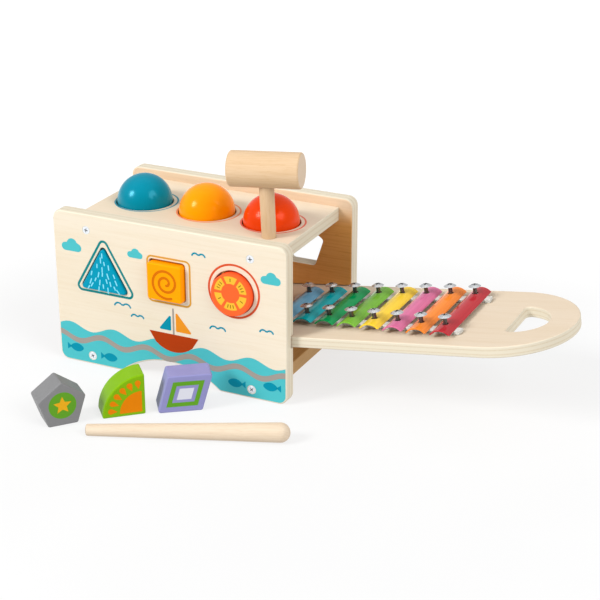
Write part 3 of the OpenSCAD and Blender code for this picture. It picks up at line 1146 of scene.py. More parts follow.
@dataclass
class Carcass:
    """The box: two side panels, the top board, two braces, their screws and the grip rings.

    Attributes:
        edge_round: Rounding of the panels' outer edges.
        top_share: Share of it that the top board's ends take.
        hole_share: Share of either that the edges of holes and grooves take.
        rim: Width along a board's sides that holds its outer edges and no hole.
        arch: Half width and height of a panel's arch, with its rounded feet.
        panel_face: Colour of the panels' veneer.
        panel_streak: Colour of its streaks.
        brace_round: Rounding of the braces' edges.
        brace_pale: Colour of the braces' early wood, a warm brown that is partly painted shade.
        brace_dark: Colour of their streaks, partly painted shade in the same way.
        head_d: Head diameter of a panel screw.
        head_rim: Width and height of the bevel round its head.
        screw_d: Shank diameter of a panel screw.
        recess: Width, length and depth of the cross recess.
        recess_turn: Turn of the first recess, and the step to the next, in radians.
        mirror: How much of a mirror the screws' plating is.
        plating: Colour of the screws' plating.
        plating_worn: Colour of its handling marks.
        ring_inks: Ink of the ring printed round each ball hole.
        ring_r: Outer radius of such a ring.
        ring_line: Width of its line.
        ring_shift: How far it lies off the middle of the hole.
    """

    edge_round: float = 1.5
    top_share: float = 0.6
    hole_share: float = 0.3
    rim: float = 3.0
    arch: Point = (54.0, 18.0)
    panel_face: str = "#d7ccb9"
    panel_streak: str = "#cfbfa5"
    brace_round: float = 0.8
    # The braces' own wood tone, darkened to a warm brown that is partly painted shade
    brace_pale: str = "#cba36c"
    brace_dark: str = "#b0834a"
    head_d: float = 7.2
    head_rim: Point = (0.45, 0.4)
    screw_d: float = 3.6
    recess: Point3 = (0.7, 3.6, 1.1)
    recess_turn: Point = (0.5, 0.9)
    mirror: float = 0.3
    plating: str = "#dfe3e8"
    plating_worn: str = "#cdd2d8"
    ring_inks: dict[str, Ink] = field(default_factory=lambda: {
        "left": Ink.BALL_TEAL, "middle": Ink.BALL_AMBER, "right": Ink.BALL_CORAL})
    ring_r: float = 27.4
    ring_line: float = 1.5
    ring_shift: Point = (1.4, 0.5)

    def build(self) -> None:
        """Make and dress the whole box."""
        self.panel("front_panel", "front_side", INWARD)
        self.panel("back_panel", "back_side", -INWARD)
        self.top()
        for side in ("left", "right"):
            brace = soften(welded_copy("brace_" + side, side + "_brace"), self.brace_round)
            # The brace's warm brown is partly painted shade for the inside of the box
            wood = TurnedWood("brace_wood_" + side, INWARD, self.brace_pale, self.brace_dark)
            stand_in(brace, "frame", "brace_" + side, "brace_wood", wood.material())
        self.screws("front_screws", "front_side_screws", -INWARD)
        self.screws("back_screws", "back_side_screws", INWARD)
        rubber = Rubber().material()
        for column in self.ring_inks:
            repaint("grip_ring_" + column, rubber)

    def outer_share(self, low: Vector, high: Vector, axes: str) -> Callable[[Vector], float]:
        """Tell the outer edges of a board from those of its holes.

        Args:
            low: Lowest corner of the board.
            high: Highest corner of the board.
            axes: Axes at whose ends the board has outer edges.

        Returns:
            A function that gives an edge's share of the rounding.
        """
        margin = self.rim * MM
        middle = (low + high) / 2
        ways = ["xyz".index(axis) for axis in axes]

        def share(place: Vector) -> float:
            """Work out one edge's share of the rounding.

            Args:
                place: Middle of the edge.

            Returns:
                The share, from 0 to 1.
            """
            near = any(min(place[k] - low[k], high[k] - place[k]) < margin for k in ways)
            under = abs(place.x - middle.x) < self.arch[0] * MM and place.z - low.z < self.arch[1] * MM
            return 1.0 if near or (under and "z" in axes) else self.hole_share

        return share

    def panel(self, node: str, name: str, inside: Vector) -> None:
        """Make one side panel.

        Args:
            node: CAD node of the panel.
            name: Name of the piece.
            inside: Direction that its inner face looks in.
        """
        low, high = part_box(node)
        panel = soften(welded_copy(node, name), self.edge_round, self.outer_share(low, high, "xz"))
        # The painted shade on the panel's inner face reaches up to the top board
        covered = middle_of("top_board").z
        wood = Plywood("plywood_" + name, ACROSS, INWARD, low.y, (high.y - low.y) / MM, inside, covered,
                       face=self.panel_face, streak=self.panel_streak)
        stand_in(panel, "frame", node, "plywood", wood.material())

    def top(self) -> None:
        """Make the top board and print a ring round each ball hole."""
        low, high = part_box("top_board")
        board = soften(welded_copy("top_board", "top_shelf"), self.edge_round * self.top_share,
                       self.outer_share(low, high, "x"))
        # The board's underside takes the painted shade of the inner faces over its whole area
        wood = Plywood("plywood_top", ACROSS, UPWARD, low.z, (high.z - low.z) / MM, -UPWARD)
        stand_in(board, "frame", "top_board", "plywood", wood.material())
        rings = Print("ball_hole_ring", Face(Vector((0, 0, high.z)), ACROSS, INWARD), "frame")
        for column, ink in self.ring_inks.items():
            place = middle_of("ball_" + column) / MM
            spot = (place.x + self.ring_shift[0], place.y + self.ring_shift[1])
            rings.shape(ink, disc(spot, self.ring_r, RING_STEPS), self.ring_line)
        rings.done()

    def screws(self, node: str, name: str, outward: Vector) -> None:
        """Make one panel's countersunk screws, with a cross recess in each head.

        Args:
            node: CAD node of the screws.
            name: Name of the piece.
            outward: Direction that their heads look in.
        """
        shank_r, head_r = self.screw_d / 2, self.head_d / 2
        rim_w, rim_h = self.head_rim
        head = [(shank_r, shank_r - head_r), (head_r, -rim_h), (head_r - rim_w, 0)]
        first, step = self.recess_turn
        made = []
        for k, points in enumerate(islands(node)):
            depth = [p.dot(outward) / MM for p in points]
            long = max(depth) - min(depth)
            screw = spun(name, [(0, 0), (0, -long), (shank_r, -long)] + head)
            cross_cut(screw, *self.recess, 0.0)
            spot = mean_of(points)
            spot += outward * (max(depth) * MM - spot.dot(outward))
            drive(screw, spot, outward, first + step * k)
            made.append(screw)
        piece = joined(made, name)
        shade(piece, ROUND_SHARP)
        top = max(v.co.dot(outward) for v in piece.data.vertices)
        steel = Steel("steel_" + name, outward, self.mirror, self.plating, self.plating_worn, top)
        stand_in(piece, "frame", node, "screw_steel", steel.material())


@dataclass(frozen=True)
class HoleLine:
    """A line printed round a sorter hole.

    Attributes:
        size: Side of a triangle or a square, or radius of a circle.
        width: Width of the line.
        shift: How far its middle lies off the middle of the block in the hole.
        corner_r: Radius of its corners.
    """

    size: float
    width: float
    shift: Point
    corner_r: float = 0.0


@dataclass
class PanelPrint:
    """What is printed on the front panel: lines round the sorter holes and a plain sea picture.

    Places are taken from the panel's lower left corner.

    Attributes:
        margin: Bare strip left along the panel's edges.
        corner_r: Radius of the panel's corners.
        arch_w: Width of its arch.
        arch_h: Height of its arch.
        foot_r: Radius of the arch's rounded feet.
        bare_r: Radius of the bare spot round a screw's head.
        punch_h: Height of the tool that cuts this spot.
        punch_steps: Faces round that tool.
        low_z: Height that the two lower screws lie below.
        triangle_line: Line round the triangle's hole, before it is moved outwards.
        triangle_gap: How far it is moved outwards.
        square_line: Line round the square's hole.
        round_line: Line round the round hole.
        swell: Height, wave height and wave length of the sea's upper edge.
        band: Depth of a band below that edge, its width, and how far its waves run ahead.
        wave_steps: Straight steps along a wave line.
        arch_steps: Straight steps round the arch.
        boat_at: Place of the boat's keel line.
        fish: Place of each fish, and 1 or -1 for the way that it swims.
        clouds: Place and size of each cloud.
        gulls: Place and size of each gull.
        gull_line: Width of a gull's line.
        low: Lowest corner of the panel, in metres.
        length: Length of the panel.
        sheet: The print on it.
    """

    margin: float = 1.4
    corner_r: float = 8.0
    arch_w: float = 92.0
    arch_h: float = 17.0
    foot_r: float = 6.0
    bare_r: float = 3.9
    punch_h: float = 2.0
    punch_steps: int = 48
    low_z: float = 40.0
    triangle_line: HoleLine = HoleLine(44.5, 2.1, (0.5, 2.4), 4.8)
    triangle_gap: float = 4.8
    square_line: HoleLine = HoleLine(40.8, 1.6, (1.5, 0.2), 5.0)
    round_line: HoleLine = HoleLine(23.3, 1.8, (0.8, 2.0))
    swell: Point3 = (33.0, 3.2, 43.0)
    band: Point3 = (7.5, 5.0, 12.0)
    wave_steps: int = 72
    arch_steps: int = 36
    boat_at: Point = (112.0, 32.0)
    fish: tuple[Point3, ...] = ((17, 13, 1), (50, 10, 1), (168, 11, -1), (200, 14, -1))
    clouds: tuple[Point3, ...] = ((17, 104, 1.2), (78, 107, 0.9), (201, 106, 1.1))
    gulls: tuple[Point3, ...] = (
        (64, 58, 1.3), (78, 51, 1.0), (153, 54, 1.2), (137, 115, 1.0), (197, 60, 1.0))
    gull_line: float = 1.5
    low: Vector = field(init=False)
    length: float = field(init=False)
    sheet: Print = field(init=False)

    def build(self) -> None:
        """Print the panel."""
        self.low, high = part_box("front_panel")
        self.length = (high.x - self.low.x) / MM
        self.sheet = Print("front_print", Face(self.low.copy(), ACROSS, UPWARD), "frame")
        self.hole_lines()
        self.sea()
        self.boat()
        self.shoal()
        self.sky()
        self.sheet.done()

    def hole_middle(self, body: str, line: HoleLine) -> Point:
        """Middle of the line round a block's hole."""
        spot = (middle_of(body + "_block") - self.low) / MM
        return (spot.x + line.shift[0], spot.z + line.shift[1])

    def hole_lines(self) -> None:
        """Print a line round each sorter hole, a little above the block that has dropped in it."""
        line = self.triangle_line
        corners = regular(3, line.size / math.sqrt(3))
        lift = (max(p[1] for p in corners) + min(p[1] for p in corners)) / 2
        x, z = self.hole_middle("triangle", line)
        triangle = rounded(grown(corners, self.triangle_gap), line.corner_r)
        self.sheet.shape(Ink.RING_GREEN, shifted(triangle, x, z - lift), line.width)
        line = self.square_line
        square = rounded(regular(4, line.size / math.sqrt(2), 45), line.corner_r)
        self.sheet.shape(Ink.RING_OCHRE, shifted(square, *self.hole_middle("square", line)), line.width)
        line = self.round_line
        circle = disc(self.hole_middle("round", line), line.size, RING_STEPS)
        self.sheet.shape(Ink.RING_BRICK, circle, line.width)

    def run(self) -> list[float]:
        """Places along the panel where a wave line has its points."""
        span = self.length - 2 * self.margin
        return [self.margin + span * k / self.wave_steps for k in range(self.wave_steps + 1)]

    def wave(self, x: float, drop: float = 0.0, lead: float = 0.0) -> float:
        """Height of a wave line at x, some way below the sea's edge and ahead of it."""
        base, height, length = self.swell
        return base - drop + height * math.sin(2 * math.pi * (x + lead) / length)

    def wave_band(self, drop: float, width: float, lead: float) -> Outline:
        """Outline of a band that follows a wave line across the panel.

        Args:
            drop: Depth of the band below the sea's edge.
            width: Width of the band.
            lead: How far its waves run ahead of the sea's edge.

        Returns:
            The outline.
        """
        lower = [(x, self.wave(x, drop + width, lead)) for x in self.run()]
        upper = [(x, self.wave(x, drop, lead)) for x in reversed(self.run())]
        return lower + upper

    def sea(self) -> None:
        """Print the sea along the panel's foot and round its arch, with a band in it."""
        middle = self.length / 2
        far = self.length - self.corner_r
        corner, foot = self.corner_r - self.margin, self.foot_r - self.margin
        arch_r = ((self.arch_w / 2) ** 2 + self.arch_h ** 2) / (2 * self.arch_h)
        arch_z = self.arch_h - arch_r
        foot_x = math.sqrt((arch_r + self.foot_r) ** 2 - (self.foot_r - arch_z) ** 2)
        swing = math.degrees(math.atan2(self.foot_r - arch_z, foot_x))
        shore = arc((self.corner_r, self.corner_r), corner, 180, 270)
        shore += arc((middle - foot_x, self.foot_r), foot, 270, 360 - swing)
        shore += arc((middle, arch_z), arch_r + self.margin, 180 - swing, swing, self.arch_steps)
        shore += arc((middle + foot_x, self.foot_r), foot, 180 + swing, 270)
        shore += arc((far, self.corner_r), corner, 270, 360)
        surface = [(x, self.wave(x)) for x in reversed(self.run())]
        water = self.sheet.shape(Ink.SEA, shore + surface)
        for spot in self.low_screws():
            self.punch(water, spot)
        self.sheet.shape(Ink.GREY, self.wave_band(*self.band), layer=2)

    def low_screws(self) -> list[Point]:
        """Places of the two lower screws on the panel."""
        spots = [(mean_of(points) - self.low) / MM for points in islands("front_screws")]
        return [(spot.x, spot.z) for spot in spots if spot.z < self.low_z]

    def punch(self, film: Piece, spot: Point) -> None:
        """Cut a round hole in a film, where a screw's head is left bare.

        Args:
            film: Film to cut.
            spot: Middle of the hole.
        """
        free_of_selection()
        bpy.ops.mesh.primitive_cylinder_add(vertices=self.punch_steps, radius=self.bare_r * MM,
                                            depth=self.punch_h * MM)
        tool = started("film_punch")
        edit(tool)
        bpy.ops.transform.rotate(value=math.radians(90), orient_axis="X", center_override=(0, 0, 0))
        bpy.ops.transform.translate(value=self.sheet.face.at(spot))
        close()
        apply(film, "BOOLEAN", object=tool, operation="DIFFERENCE", solver="EXACT")
        bpy.data.objects.remove(tool)

    def boat(self) -> None:
        """Print a sailing boat on the sea."""
        hull = [(-23, 11), (-17, 1.5)] + arc((0, 20), 25, 228, 312, 10) + [(17, 1.5), (23, 11)]
        mast = stroke([(0, 11), (0, 33.5)], 1.6)
        main_sail = rounded([(2.2, 14), (17.5, 14), (2.2, 32)], 1.0)
        fore_sail = rounded([(-2.2, 14), (-2.2, 29), (-14, 14)], 1.0)
        self.sheet.shape(Ink.RUST, shifted(hull, *self.boat_at), layer=3)
        self.sheet.shape(Ink.GREY, shifted(mast, *self.boat_at), layer=2)
        self.sheet.shape(Ink.ORANGE, shifted(main_sail, *self.boat_at))
        self.sheet.shape(Ink.TEAL, shifted(fore_sail, *self.boat_at))

    def shoal(self) -> None:
        """Print some fish in the sea."""
        body = arc((0, -4.2), 8, 38, 142, 10) + arc((0, 4.2), 8, 218, 322, 10)
        tail = [(-5.4, 0), (-9.6, 3.2), (-9.6, -3.2)]
        for x, z, way in self.fish:
            for outline in (body, tail):
                self.sheet.shape(Ink.TEAL, shifted(stretched(outline, way, 1), x, z), layer=2)

    def sky(self) -> None:
        """Print small clouds and some gulls."""
        cloud = arc((-5, 0), 3, 90, 270, 8) + arc((5, 0), 3, -90, 60, 8)
        cloud += arc((0.5, 2.2), 4.2, 20, 165, 12)
        wings = arc((-3, 0), 3, 160, 40, 6) + arc((3, 0), 3, 140, 20, 6)
        for x, z, size in self.clouds:
            self.sheet.shape(Ink.SEA, shifted(stretched(cloud, size, size), x, z))
        for x, z, size in self.gulls:
            gull = stroke(stretched(wings, size, size), self.gull_line)
            self.sheet.shape(Ink.TEAL, shifted(gull, x, z))


@dataclass
class Balls:
    """Three painted wooden balls.

    Attributes:
        paints: Colour of each ball.
        uneven: Share of the paint that dries darker.
        white: Share of white in its gloss.
    """

    paints: dict[str, str] = field(default_factory=lambda: {
        "left": "#007b91", "middle": "#ff9500", "right": "#d83c06"})
    uneven: float = 0.08
    white: float = 0.2

    def build(self) -> None:
        """Paint the balls."""
        for column, colour in self.paints.items():
            paint = Paint("ball_paint_" + column, colour, Gloss.BALL, self.uneven, self.white)
            repaint("ball_" + column, paint.material())


@dataclass
class Xylophone:
    """The sliding board with its felt rails, tone bars and guide screws.

    Attributes:
        edge_round: Rounding of the board's edges.
        board_face: Colour of the board's veneer.
        board_streak: Colour of its streaks.
        felt_round: Rounding of a rail's edges.
        bar_round: Rounding of a bar's edges.
        lacquers: Colour of each bar by the end of its slot's name, the longest bar first.
        head_d: Head diameter of a guide screw.
        head_h: Height of its domed head.
        head_rim: Width of the bevel under the head's rim.
        pin_d: Shank diameter of a guide screw.
        recess: Width, length and depth of the cross recess.
        recess_turn: Turn of the first recess, and the step to the next, in radians.
        mirror: How much of a mirror the screws' plating is.
        plating: Colour of the screws' plating.
        plating_worn: Colour of its handling marks.
        slope: Direction that the board slides out in.
        square: Direction square to the board, upwards.
    """

    edge_round: float = 1.1
    board_face: str = "#d0c0ab"
    board_streak: str = "#c6b296"
    felt_round: float = 0.7
    bar_round: float = 0.25
    lacquers: dict[str, str] = field(default_factory=lambda: {
        "red": "#b02b33", "orange": "#e8822c", "pink": "#cc6a92", "yellow": "#ecc636",
        "light_green": "#74b038", "dark_green": "#00914e", "teal": "#00989f", "pale_blue": "#6198b6"})
    head_d: float = 10.4
    head_h: float = 1.8
    head_rim: float = 0.3
    pin_d: float = 3.4
    recess: Point3 = (1.3, 4.8, 1.1)
    recess_turn: Point = (0.3, 0.7)
    mirror: float = 0.75
    plating: str = "#e2e4e6"
    plating_worn: str = "#b0b3b8"
    slope: Vector = field(init=False)
    square: Vector = field(init=False)

    def build(self) -> None:
        """Make and dress the board and all that it carries."""
        slide = next(j for j in frame["joints"] if j["child"] == "xylophone")
        self.slope = Vector(slide["axis"]).normalized()
        self.square = self.slope.cross(INWARD)
        self.board()
        felt = Felt().material()
        for side in ("front", "back"):
            rail = soften(welded_copy(side + "_rail", side + "_felt"), self.felt_round)
            stand_in(rail, "xylophone", side + "_rail", "felt", felt)
            self.screws(side + "_bar_screws", side + "_guide_screws")
        for k, (tone, colour) in enumerate(self.lacquers.items(), 1):
            bar = soften(welded_copy(f"bar_{k}", f"tone_bar_{k}"), self.bar_round)
            lacquer = Enamel("lacquer_" + tone, colour, self.square)
            stand_in(bar, "xylophone", f"bar_{k}", "bar_" + tone, lacquer.material())

    def board(self) -> None:
        """Make the sliding board, with its finger hole."""
        node = frame["nodes"]["xylophone_board"]
        heights = [v.co.dot(self.square) for v in node.data.vertices]
        thickness = (max(heights) - min(heights)) / MM
        board = soften(welded_copy("xylophone_board", "sliding_board"), self.edge_round)
        wood = Plywood("plywood_slide", self.slope, self.square, min(heights), thickness,
                       face=self.board_face, streak=self.board_streak)
        stand_in(board, "xylophone", "xylophone_board", "plywood", wood.material())

    def screws(self, node: str, name: str) -> None:
        """Make one row of dome-headed guide screws.

        Args:
            node: CAD node of the row.
            name: Name of the piece.
        """
        pin_r, head_r, head_h = self.pin_d / 2, self.head_d / 2, self.head_h
        dome_r = (head_r ** 2 + head_h ** 2) / (2 * head_h)
        half = math.degrees(math.asin(head_r / dome_r))
        head = [(head_r - self.head_rim, 0)] + arc((0, head_h - dome_r), dome_r, 90 - half, 90, 8)
        first, step = self.recess_turn
        made = []
        for k, points in enumerate(islands(node)):
            tall = [p.dot(self.square) for p in points]
            runs = [p.dot(self.slope) for p in points]
            sides = [p.y for p in points]
            long = (max(tall) - min(tall)) / MM - head_h
            screw = spun(name, [(0, -long), (pin_r, -long), (pin_r, 0)] + head)
            cross_cut(screw, *self.recess, head_h)
            spot = (self.slope * (max(runs) + min(runs)) / 2 + INWARD * (max(sides) + min(sides)) / 2
                    + self.square * (max(tall) - head_h * MM))
            drive(screw, spot, self.square, first + step * k)
            made.append(screw)
        piece = joined(made, name)
        shade(piece, ROUND_SHARP)
        steel = Steel("steel_" + name, self.square, self.mirror, self.plating, self.plating_worn)
        stand_in(piece, "xylophone", node, "screw_steel", steel.material())


@dataclass
class Hammer:
    """The turned hammer that is parked in the top board.

    Attributes:
        edge_round: Rounding of its edges.
    """

    edge_round: float = 0.5

    def build(self) -> None:
        """Make and dress the head and the handle."""
        head = welded_copy("hammer_head", "mallet_head")
        wood = TurnedWood("head_wood", facing(head, ACROSS).normal)
        soften(head, self.edge_round, sharp=ROUND_SHARP)
        stand_in(head, "hammer", "hammer_head", "turned_wood", wood.material())
        handle = soften(welded_copy("hammer_handle", "mallet_handle"), self.edge_round)
        wood = TurnedWood("handle_wood", UPWARD)
        stand_in(handle, "hammer", "hammer_handle", "turned_wood", wood.material())


@dataclass
class MalletStick:
    """The tapered stick that lies on the floor.

    Attributes:
        end_round: Rounding of its ends.
        thin_end: Direction that its thin end looks in, more or less.
        pale: Colour of the early wood.
        dark: Colour of the streaks.
    """

    end_round: float = 0.6
    thin_end: Vector = field(default_factory=lambda: Vector((-1, -0.4, 0)))
    pale: str = "#d1c1ab"
    dark: str = "#c2aa8f"

    def build(self) -> None:
        """Make and dress the stick."""
        stick = welded_copy("mallet_stick", "beater_stick")
        wood = TurnedWood("stick_wood", facing(stick, self.thin_end).normal, self.pale, self.dark)
        soften(stick, self.end_round, sharp=ROUND_SHARP)
        stand_in(stick, "mallet", "mallet_stick", "turned_wood", wood.material())


# Patterns on the sorter blocks, from the middle of the printed face


class Pattern(Protocol):
    """What is printed on a block."""

    def draw(self, sheet: Print) -> None:
        """Print it."""


@dataclass(frozen=True)
class Dashes:
    """Short dashes that fan out from the top.

    Attributes:
        rows: Height of each row, and the number of dashes in it.
        gap: Distance between the dashes of a row.
        line: Width of a dash.
        length: Length of a dash.
        vary: How much longer or shorter than that some are.
        stray: How far a dash strays across and upwards.
        fan: Lean of a dash for each millimetre off the middle.
        sway: How far its lean strays.
    """

    rows: tuple[tuple[float, int], ...] = (
        (13.5, 1), (8.0, 2), (2.5, 3), (-3.5, 5), (-9.5, 6), (-15.0, 7))
    gap: float = 5.0
    line: float = 1.05
    length: float = 3.6
    vary: float = 0.9
    stray: Point = (0.9, 1.5)
    fan: float = 2.2
    sway: float = 8.0

    def draw(self, sheet: Print) -> None:
        """Print the dashes row by row, with waves of unlike steps to make them uneven.

        Args:
            sheet: Print on the block's face.
        """
        for row, (height, count) in enumerate(self.rows):
            for k in range(count):
                x = (k - (count - 1) / 2) * self.gap + self.stray[0] * math.sin(2.4 * k + 1.7 * row)
                y = height + self.stray[1] * math.sin(3.1 * k + row)
                lean = -90 + self.fan * x + self.sway * math.sin(1.9 * k + 0.6 * row)
                half = (self.length + self.vary * math.sin(2.7 * k + 2.0 * row)) / 2
                dash = stroke([(-half, 0), (half, 0)], self.line)
                sheet.shape(Ink.CYAN, shifted(turned(dash, lean), x, y))


@dataclass(frozen=True)
class Spiral:
    """A spiral.

    Attributes:
        at: Its middle.
        outer_r: Radius at its outer end.
        inner_r: Radius at its inner end.
        start: Angle of its outer end.
        turns: Number of turns, clockwise.
        line: Width of the line.
        steps: Straight steps along it.
    """

    at: Point = (1.5, 0.2)
    outer_r: float = 13.5
    inner_r: float = 2.0
    start: float = -68.0
    turns: int = 2
    line: float = 2.3
    steps: int = 90

    def draw(self, sheet: Print) -> None:
        """Print the spiral as one stroke.

        Args:
            sheet: Print on the block's face.
        """
        path = []
        for k in range(self.steps + 1):
            share = k / self.steps
            angle = math.radians(self.start - 360 * self.turns * share)
            radius = self.outer_r - (self.outer_r - self.inner_r) * share
            path.append((self.at[0] + radius * math.cos(angle), self.at[1] + radius * math.sin(angle)))
        sheet.shape(Ink.SPIRAL, stroke(path, self.line))


@dataclass(frozen=True)
class Segments:
    """A ring of segments, with three dashes and one dash by turns.

    Attributes:
        at: Middle of the ring.
        count: Number of segments.
        inner_r: Inner radius of the ring.
        outer_r: Outer radius of the ring.
        start: Angle at which the first segment starts.
        spread: Angle that a segment takes on the outside.
        taper: Angle by which each of its sides draws in on the inside.
        dash_at: Angle from a segment's start to its middle dash.
        dash_step: Angle between dashes.
        dash: Where a dash starts and ends, from the middle of the ring.
        dash_line: Width of a dash.
    """

    at: Point = (0.3, 2.0)
    count: int = 6
    inner_r: float = 8.2
    outer_r: float = 14.4
    start: float = 5.0
    spread: float = 49.0
    taper: float = 2.0
    dash_at: float = 25.0
    dash_step: float = 12.0
    dash: Point = (10.2, 12.4)
    dash_line: float = 0.9

    def draw(self, sheet: Print) -> None:
        """Print each segment, and its dashes on top.

        Args:
            sheet: Print on the block's face.
        """
        dash = stroke([(self.dash[0], 0), (self.dash[1], 0)], self.dash_line)
        for k in range(self.count):
            start = 360 / self.count * k + self.start
            end = start + self.spread
            segment = arc(self.at, self.outer_r, start, end, 8)
            segment += arc(self.at, self.inner_r, end - self.taper, start + self.taper, 8)
            sheet.shape(Ink.SEGMENT, segment)
            dashes = 1 if k % 2 else 3
            for m in range(dashes):
                angle = start + self.dash_at + (m - (dashes - 1) / 2) * self.dash_step
                sheet.shape(Ink.OLIVE, shifted(turned(dash, angle), *self.at), layer=2)


@dataclass(frozen=True)
class Star:
    """A star on a round ground.

    Attributes:
        at: Its middle.
        ground_r: Radius of the ground.
        points: Number of the star's points.
        outer_r: Radius of the points.
        inner_r: Radius of the corners between them.
    """

    at: Point = (0.0, -1.0)
    ground_r: float = 11.2
    points: int = 5
    outer_r: float = 7.6
    inner_r: float = 3.5

    def draw(self, sheet: Print) -> None:
        """Print the ground, and the star on top.

        Args:
            sheet: Print on the block's face.
        """
        sheet.shape(Ink.LEAF, disc(self.at, self.ground_r))
        tips = regular(self.points, self.outer_r)
        nooks = regular(self.points, self.inner_r, 90 + 180 / self.points)
        star = [corner for pair in zip(tips, nooks) for corner in pair]
        sheet.shape(Ink.STAR, shifted(star, *self.at), layer=2)


@dataclass(frozen=True)
class QuarterSun:
    """A quarter of a sun with rays.

    Attributes:
        at: Middle of the sun, near the block's corner.
        radius: Radius of the sun.
        rays: Number of rays.
        first: Angle of the first ray.
        step: Angle between rays.
        tip: Distance of a ray's tip from the sun's middle.
        bulb: Distance of a ray's round end from the sun's middle.
        bulb_r: Radius of that end.
        bulb_half: Angle that it runs to each side.
    """

    at: Point = (14.5, -14.5)
    radius: float = 18.0
    rays: int = 6
    first: float = 96.5
    step: float = 15.4
    tip: float = 19.8
    bulb: float = 25.2
    bulb_r: float = 2.4
    bulb_half: float = 110.0

    def draw(self, sheet: Print) -> None:
        """Print the sun and then its rays.

        Args:
            sheet: Print on the block's face.
        """
        sheet.shape(Ink.SUN, [self.at] + arc(self.at, self.radius, 90, 180, 16))
        ray = [(self.tip, 0)] + arc((self.bulb, 0), self.bulb_r, -self.bulb_half, self.bulb_half, 10)
        for k in range(self.rays):
            sheet.shape(Ink.SUN, shifted(turned(ray, self.first + self.step * k), *self.at))


@dataclass(frozen=True)
class NestedRhombi:
    """A rhombus inside the line of a larger one.

    Attributes:
        corner: Acute angle of both.
        outer: Half width and half height of the larger one.
        line: Width of its line.
        inner: Half width and half height of the smaller one.
    """

    corner: float = 74.0
    outer: Point = (12.6, 10.8)
    line: float = 3.6
    inner: Point = (5.8, 4.8)

    def outline(self, half_w: float, half_h: float) -> Outline:
        """Corners of one leaning rhombus.

        Args:
            half_w: Half its width.
            half_h: Half its height.

        Returns:
            The four corners, from the lower left one on.
        """
        lean = half_h / math.tan(math.radians(self.corner))
        return [(-half_w - lean, -half_h), (half_w - lean, -half_h),
                (half_w + lean, half_h), (lean - half_w, half_h)]

    def draw(self, sheet: Print) -> None:
        """Print both rhombi."""
        sheet.shape(Ink.LEAF, self.outline(*self.outer), self.line)
        sheet.shape(Ink.PALE, self.outline(*self.inner))


@dataclass(frozen=True)
class BlockLook:
    """Paint and print of one block.

    Attributes:
        slot: Material slot of its paint.
        colour: Colour of its paint.
        pattern: What is printed on it.
        in_panel: Whether it lies in the front panel, and not on the floor.
        sharp: Least angle between two faces whose edge is eased.
    """

    slot: str
    colour: str
    pattern: Pattern
    in_panel: bool = False
    sharp: float = BOARD_SHARP


@dataclass
class SorterBlocks:
    """Six painted blocks with printed faces.

    Attributes:
        edge_round: Rounding of the blocks' edges.
        forward: Direction that the print on the loose blocks looks in, more or less.
        looks: Paint and print of each block, by its body.
    """

    edge_round: float = 1.2
    forward: Vector = field(default_factory=lambda: Vector((0.7, -0.7, 0)))
    looks: dict[str, BlockLook] = field(default_factory=lambda: {
        "triangle": BlockLook("block_blue", "#0088a4", Dashes(), in_panel=True),
        "square": BlockLook("block_yellow", "#ff9600", Spiral(), in_panel=True),
        "round": BlockLook("block_orange", "#ff5d2c", Segments(), in_panel=True, sharp=ROUND_SHARP),
        "pentagon": BlockLook("block_grey", "#7a7a7b", Star()),
        "quarter": BlockLook("block_green", "#76a612", QuarterSun(), sharp=ROUND_SHARP),
        "rhombus": BlockLook("block_lavender", "#8585b4", NestedRhombi())})

    def build(self) -> None:
        """Make, paint and print the six blocks."""
        for body, look in self.looks.items():
            block = welded_copy(body + "_block", body + "_shape")
            face = facing(block, -INWARD if look.in_panel else self.forward)
            soften(block, self.edge_round, sharp=look.sharp)
            paint = Paint(look.slot + "_paint", look.colour)
            stand_in(block, body, body + "_block", look.slot, paint.material())
            sheet = Print(body + "_print", face, body)
            look.pattern.draw(sheet)
            sheet.done()


# Studio


@dataclass(frozen=True)
class Lamp:
    """A broad lamp far from the set.

    Attributes:
        name: Name of the light.
        azimuth: Angle from straight before the front panel, to the right.
        elevation: Angle above the floor.
        spread: Width of the lamp as the set sees it.
        strength: Light that it sends, in watts on a square metre.
        reach: How far off it is drawn, in metres.
    """

    name: str
    azimuth: float
    elevation: float
    spread: float
    strength: float
    reach: float = 2.5

    def hang(self) -> None:
        """Hang the lamp so that it shines at the set."""
        data = bpy.data.lights.new(self.name, "SUN")
        data.angle = math.radians(self.spread)
        data.energy = self.strength
        turn, rise = math.radians(self.azimuth), math.radians(self.elevation)
        level = math.cos(rise)
        towards = Vector((math.sin(turn) * level, -math.cos(turn) * level, math.sin(rise)))
        light = bpy.data.objects.new(self.name, data)
        light.location = towards * self.reach
        light.rotation_euler = (-towards).to_track_quat("-Z", "Y").to_euler()
        bpy.context.scene.collection.objects.link(light)


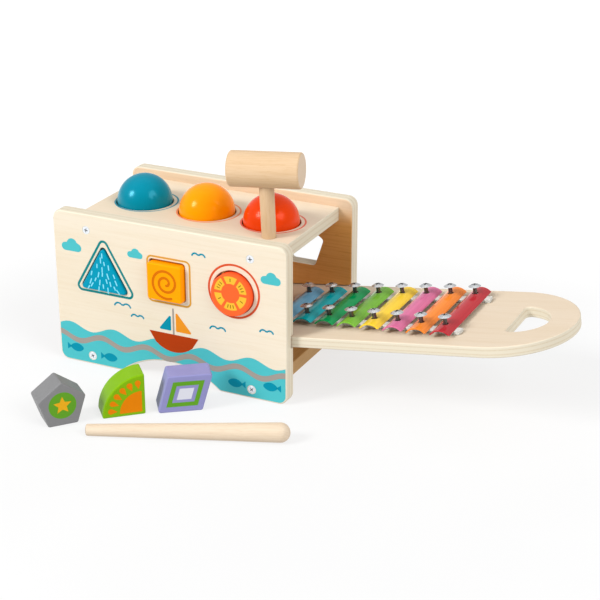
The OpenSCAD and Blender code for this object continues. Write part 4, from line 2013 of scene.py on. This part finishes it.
@dataclass
class Studio:
    """Floor, lights and camera.

    Attributes:
        eye: Camera's place from the front panel's lower left corner, in metres.
        sight: Direction that the camera looks in.
        lens: Focal length.
        sensor: Width of the sensor.
        floor_size: Length of the floor's side, in metres.
        paper: Colour of the floor paper.
        mottle: Colour of its mottling.
        glow: Light that comes through the floor paper near the set and far from it.
        glow_reach: Where the one ends and the other starts, in metres from the set's middle.
        air: Strength of the even light in the room.
        lamps: The lamps.
    """

    eye: Vector = field(default_factory=lambda: Vector((0.71442, -1.01922, 0.57220)))
    sight: Vector = field(default_factory=lambda: Vector((-0.39780, 0.83078, -0.38931)))
    lens: float = 94.84
    sensor: float = 36.0
    floor_size: float = 120.0
    paper: str = "#767676"
    mottle: str = "#727272"
    glow: Point = (0.735, 0.86)
    glow_reach: Point = (0.25, 0.8)
    air: float = 0.55
    lamps: tuple[Lamp, ...] = (
        Lamp("key_light", -40, 33, 19, 2.65),
        Lamp("side_light", 72, 36, 32, 1.6),
        Lamp("overhead_light", 0, 86, 80, 0.4))

    def build(self) -> None:
        """Set up the studio."""
        self.floor()
        self.camera()
        self.room()
        for lamp in self.lamps:
            lamp.hang()
        bpy.context.scene.view_settings.view_transform = "Standard"

    def floor(self) -> None:
        """Lay a plain pale floor."""
        free_of_selection()
        bpy.ops.mesh.primitive_plane_add(size=self.floor_size, location=(0, 0, 0))
        floor = started("studio_floor")
        paper = Shader("floor_paper")
        cloud = paper.between(paper.noise(paper.place, 3.0), 0.3, 0.7)
        far = paper.node("ShaderNodeVectorMath", {0: paper.place}, "Value", operation="LENGTH")
        finish = paper.finish(Base_Color=paper.mix(cloud, srgb(self.paper), srgb(self.mottle)),
                              Roughness=0.9, Specular_IOR_Level=0.1, Emission_Color=(1.0, 1.0, 1.0, 1.0),
                              Emission_Strength=paper.between(far, *self.glow_reach, self.glow))
        floor.data.materials.append(finish)

    def camera(self) -> None:
        """Stand the camera before the bench, to its right, looking down at it."""
        low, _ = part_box("front_panel")
        data = bpy.data.cameras.new("camera")
        data.lens = self.lens
        data.sensor_width = self.sensor
        camera = bpy.data.objects.new("camera", data)
        camera.location = low + self.eye
        camera.rotation_euler = self.sight.to_track_quat("-Z", "Y").to_euler()
        bpy.context.scene.collection.objects.link(camera)
        bpy.context.scene.camera = camera

    def room(self) -> None:
        """Fill the room with even white light."""
        world = bpy.data.worlds.new("studio_air")
        world.use_nodes = True
        background = world.node_tree.nodes["Background"]
        background.inputs["Color"].default_value = (1.0, 1.0, 1.0, 1.0)
        background.inputs["Strength"].default_value = self.air
        bpy.context.scene.world = world


def main() -> None:
    """Build the bench, one sub-assembly after another."""
    logging.basicConfig(level=logging.INFO)
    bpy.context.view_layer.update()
    parts = (Studio(), Carcass(), PanelPrint(), Balls(), Xylophone(), Hammer(), MalletStick(),
             SorterBlocks())
    for part in parts:
        part.build()
        log.info("built %s", type(part).__name__)


if __name__ == "__main__":
    main()
